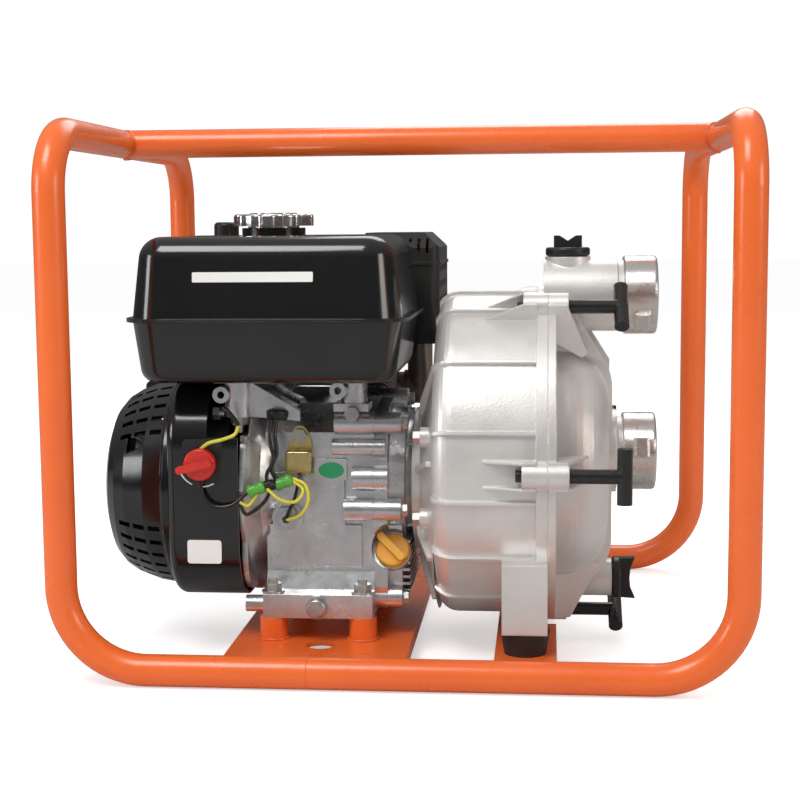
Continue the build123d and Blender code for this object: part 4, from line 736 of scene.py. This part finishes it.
def filler_gasket():
    """Paper gasket under the oil filler cap, round an axis tilted up from the front."""
    count = 48
    origin = Vector((-12.4, -98, 79.5))
    axis = Vector((0, -cos(radians(28)), sin(radians(28))))
    across = Vector((1, 0, 0))
    other = axis.cross(across)
    inner, outer = 10.2, 14.9
    near, far = 17.02, 17.28    # distances along the axis
    section = ((near, inner), (far, inner), (far, outer), (near, outer))
    verts = [(origin + axis * along + (across * cos(a) + other * sin(a)) * radius) * MM
             for a in circle_angles(count) for along, radius in section]
    faces = []
    for i in range(count):
        here, beyond = i * 4, (i + 1) % count * 4
        for k in range(4):
            after = (k + 1) % 4
            faces.append((here + k, here + after, beyond + after, beyond + k))
    piece("filler_gasket", (verts, faces), CREAM)


slab("tank_stripe", x_span=(-166, -68.5), y_span=[tank_front(z) for z in STRIPE_Z],
     z_span=STRIPE_Z, half_depth=0.12, material=WHITE_STICKER)
slab("housing_label", x_span=(-180.5, -151.8), y_span=HOUSING_LABEL_Y, z_span=(83.8, 103.6),
     half_depth=0.10, material=WHITE_STICKER)
slab("switch_plate", x_span=(-183, -150), y_span=HOUSING_LABEL_Y, z_span=(152, 188),
     half_depth=0.08, material=BLACK_SATIN)
inspection_oval()
switch_marks()
filler_gasket()


# ------------------------------------------------------------------ camera, light, floor
def add_camera():
    data = bpy.data.cameras.new("camera")
    data.lens = 69.707
    data.sensor_width = 36.0
    data.clip_start = 0.05
    camera = bpy.data.objects.new("camera", data)
    scene.collection.objects.link(camera)
    right = Vector((0.9955446, 0.09395613, -0.00794889))
    up = Vector((-0.00273188, 0.11300648, 0.9935905))
    forward = Vector((-0.0942522, 0.98914194, -0.11275967))
    pose = Matrix((right, up, -forward)).transposed().to_4x4()
    pose.translation = Vector((0.116264, -1.394685, 0.362672))
    camera.matrix_world = pose
    scene.camera = camera


def area_light(name, location, target, size, power, color=(1, 1, 1)):
    data = bpy.data.lights.new(name, "AREA")
    data.energy = power
    data.color = color
    data.size = size
    light = bpy.data.objects.new(name, data)
    scene.collection.objects.link(light)
    light.location = location
    aim = Vector(target) - Vector(location)
    light.rotation_euler = aim.to_track_quat("-Z", "Y").to_euler()


def add_world():
    """White studio when seen directly; in reflections a room that brightens upwards."""
    ambient = 0.72
    world = bpy.data.worlds.new("studio")
    scene.world = world
    world.use_nodes = True
    graph = Graph(world.node_tree)
    rays = graph.node("ShaderNodeLightPath").outputs
    direction = graph.node("ShaderNodeTexCoord").outputs["Generated"]
    height = graph.node("ShaderNodeSeparateXYZ", {0: direction}).outputs["Z"]
    room = graph.calc("MULTIPLY", graph.calc("MAXIMUM", height, 0.0), 0.55)
    room = graph.calc("ADD", room, 0.07)
    glossy = graph.calc("MULTIPLY", rays["Is Glossy Ray"], graph.calc("SUBTRACT", room, ambient))
    direct = graph.calc("MULTIPLY", rays["Is Camera Ray"], 0.60)
    background = graph.tree.nodes["Background"].inputs
    graph.feed(background[0], (1.0, 1.0, 1.0))
    graph.feed(background[1], graph.calc("ADD", graph.calc("ADD", ambient, glossy), direct))


def floor_material():
    """Pale floor, darker in reflections and lit up to white for the camera."""
    shader = Shader("pale_floor")
    glossy = shader.node("ShaderNodeLightPath").outputs["Is Glossy Ray"]
    pale = shader.mix(shader.remap(shader.noise(scale=3)), (0.86, 0.86, 0.86), (0.90, 0.90, 0.90))
    darkening = shader.calc("MULTIPLY", glossy, 0.62)
    shader.set("Base Color", shader.mix(darkening, pale, (0.12, 0.12, 0.12)))
    shader.set("Roughness", 0.8)
    shader.set("Emission Color", (1.0, 1.0, 1.0))
    direct = shader.node("ShaderNodeLightPath").outputs["Is Camera Ray"]
    shader.set("Emission Strength", shader.calc("MULTIPLY", direct, 0.64))
    return shader.material


def add_floor():
    half = 14
    mesh = bpy.data.meshes.new("floor")
    corners = [(-half, -half, 0), (half, -half, 0), (half, half, 0), (-half, half, 0)]
    mesh.from_pydata(corners, [], [(0, 1, 2, 3)])
    floor = bpy.data.objects.new("floor", mesh)
    scene.collection.objects.link(floor)
    mesh.materials.append(floor_material())


add_camera()
area_light("key_top", location=(-0.6, -1.1, 1.9), target=(0, 0, 0.2), size=0.9, power=27,
           color=(1.0, 0.985, 0.96))
area_light("fill_right", location=(1.9, -1.0, 0.8), target=(0.1, 0, 0.2), size=0.7, power=10,
           color=(1.0, 0.93, 0.84))
area_light("fill_left", location=(-1.9, -0.9, 0.7), target=(0, 0, 0.2), size=0.6, power=10,
           color=(0.96, 0.98, 1.0))
area_light("back_top", location=(0.2, 1.3, 1.6), target=(0, 0, 0.2), size=1.1, power=15)
add_world()
add_floor()
scene.view_settings.view_transform = "Standard"
scene.view_settings.exposure = -0.35
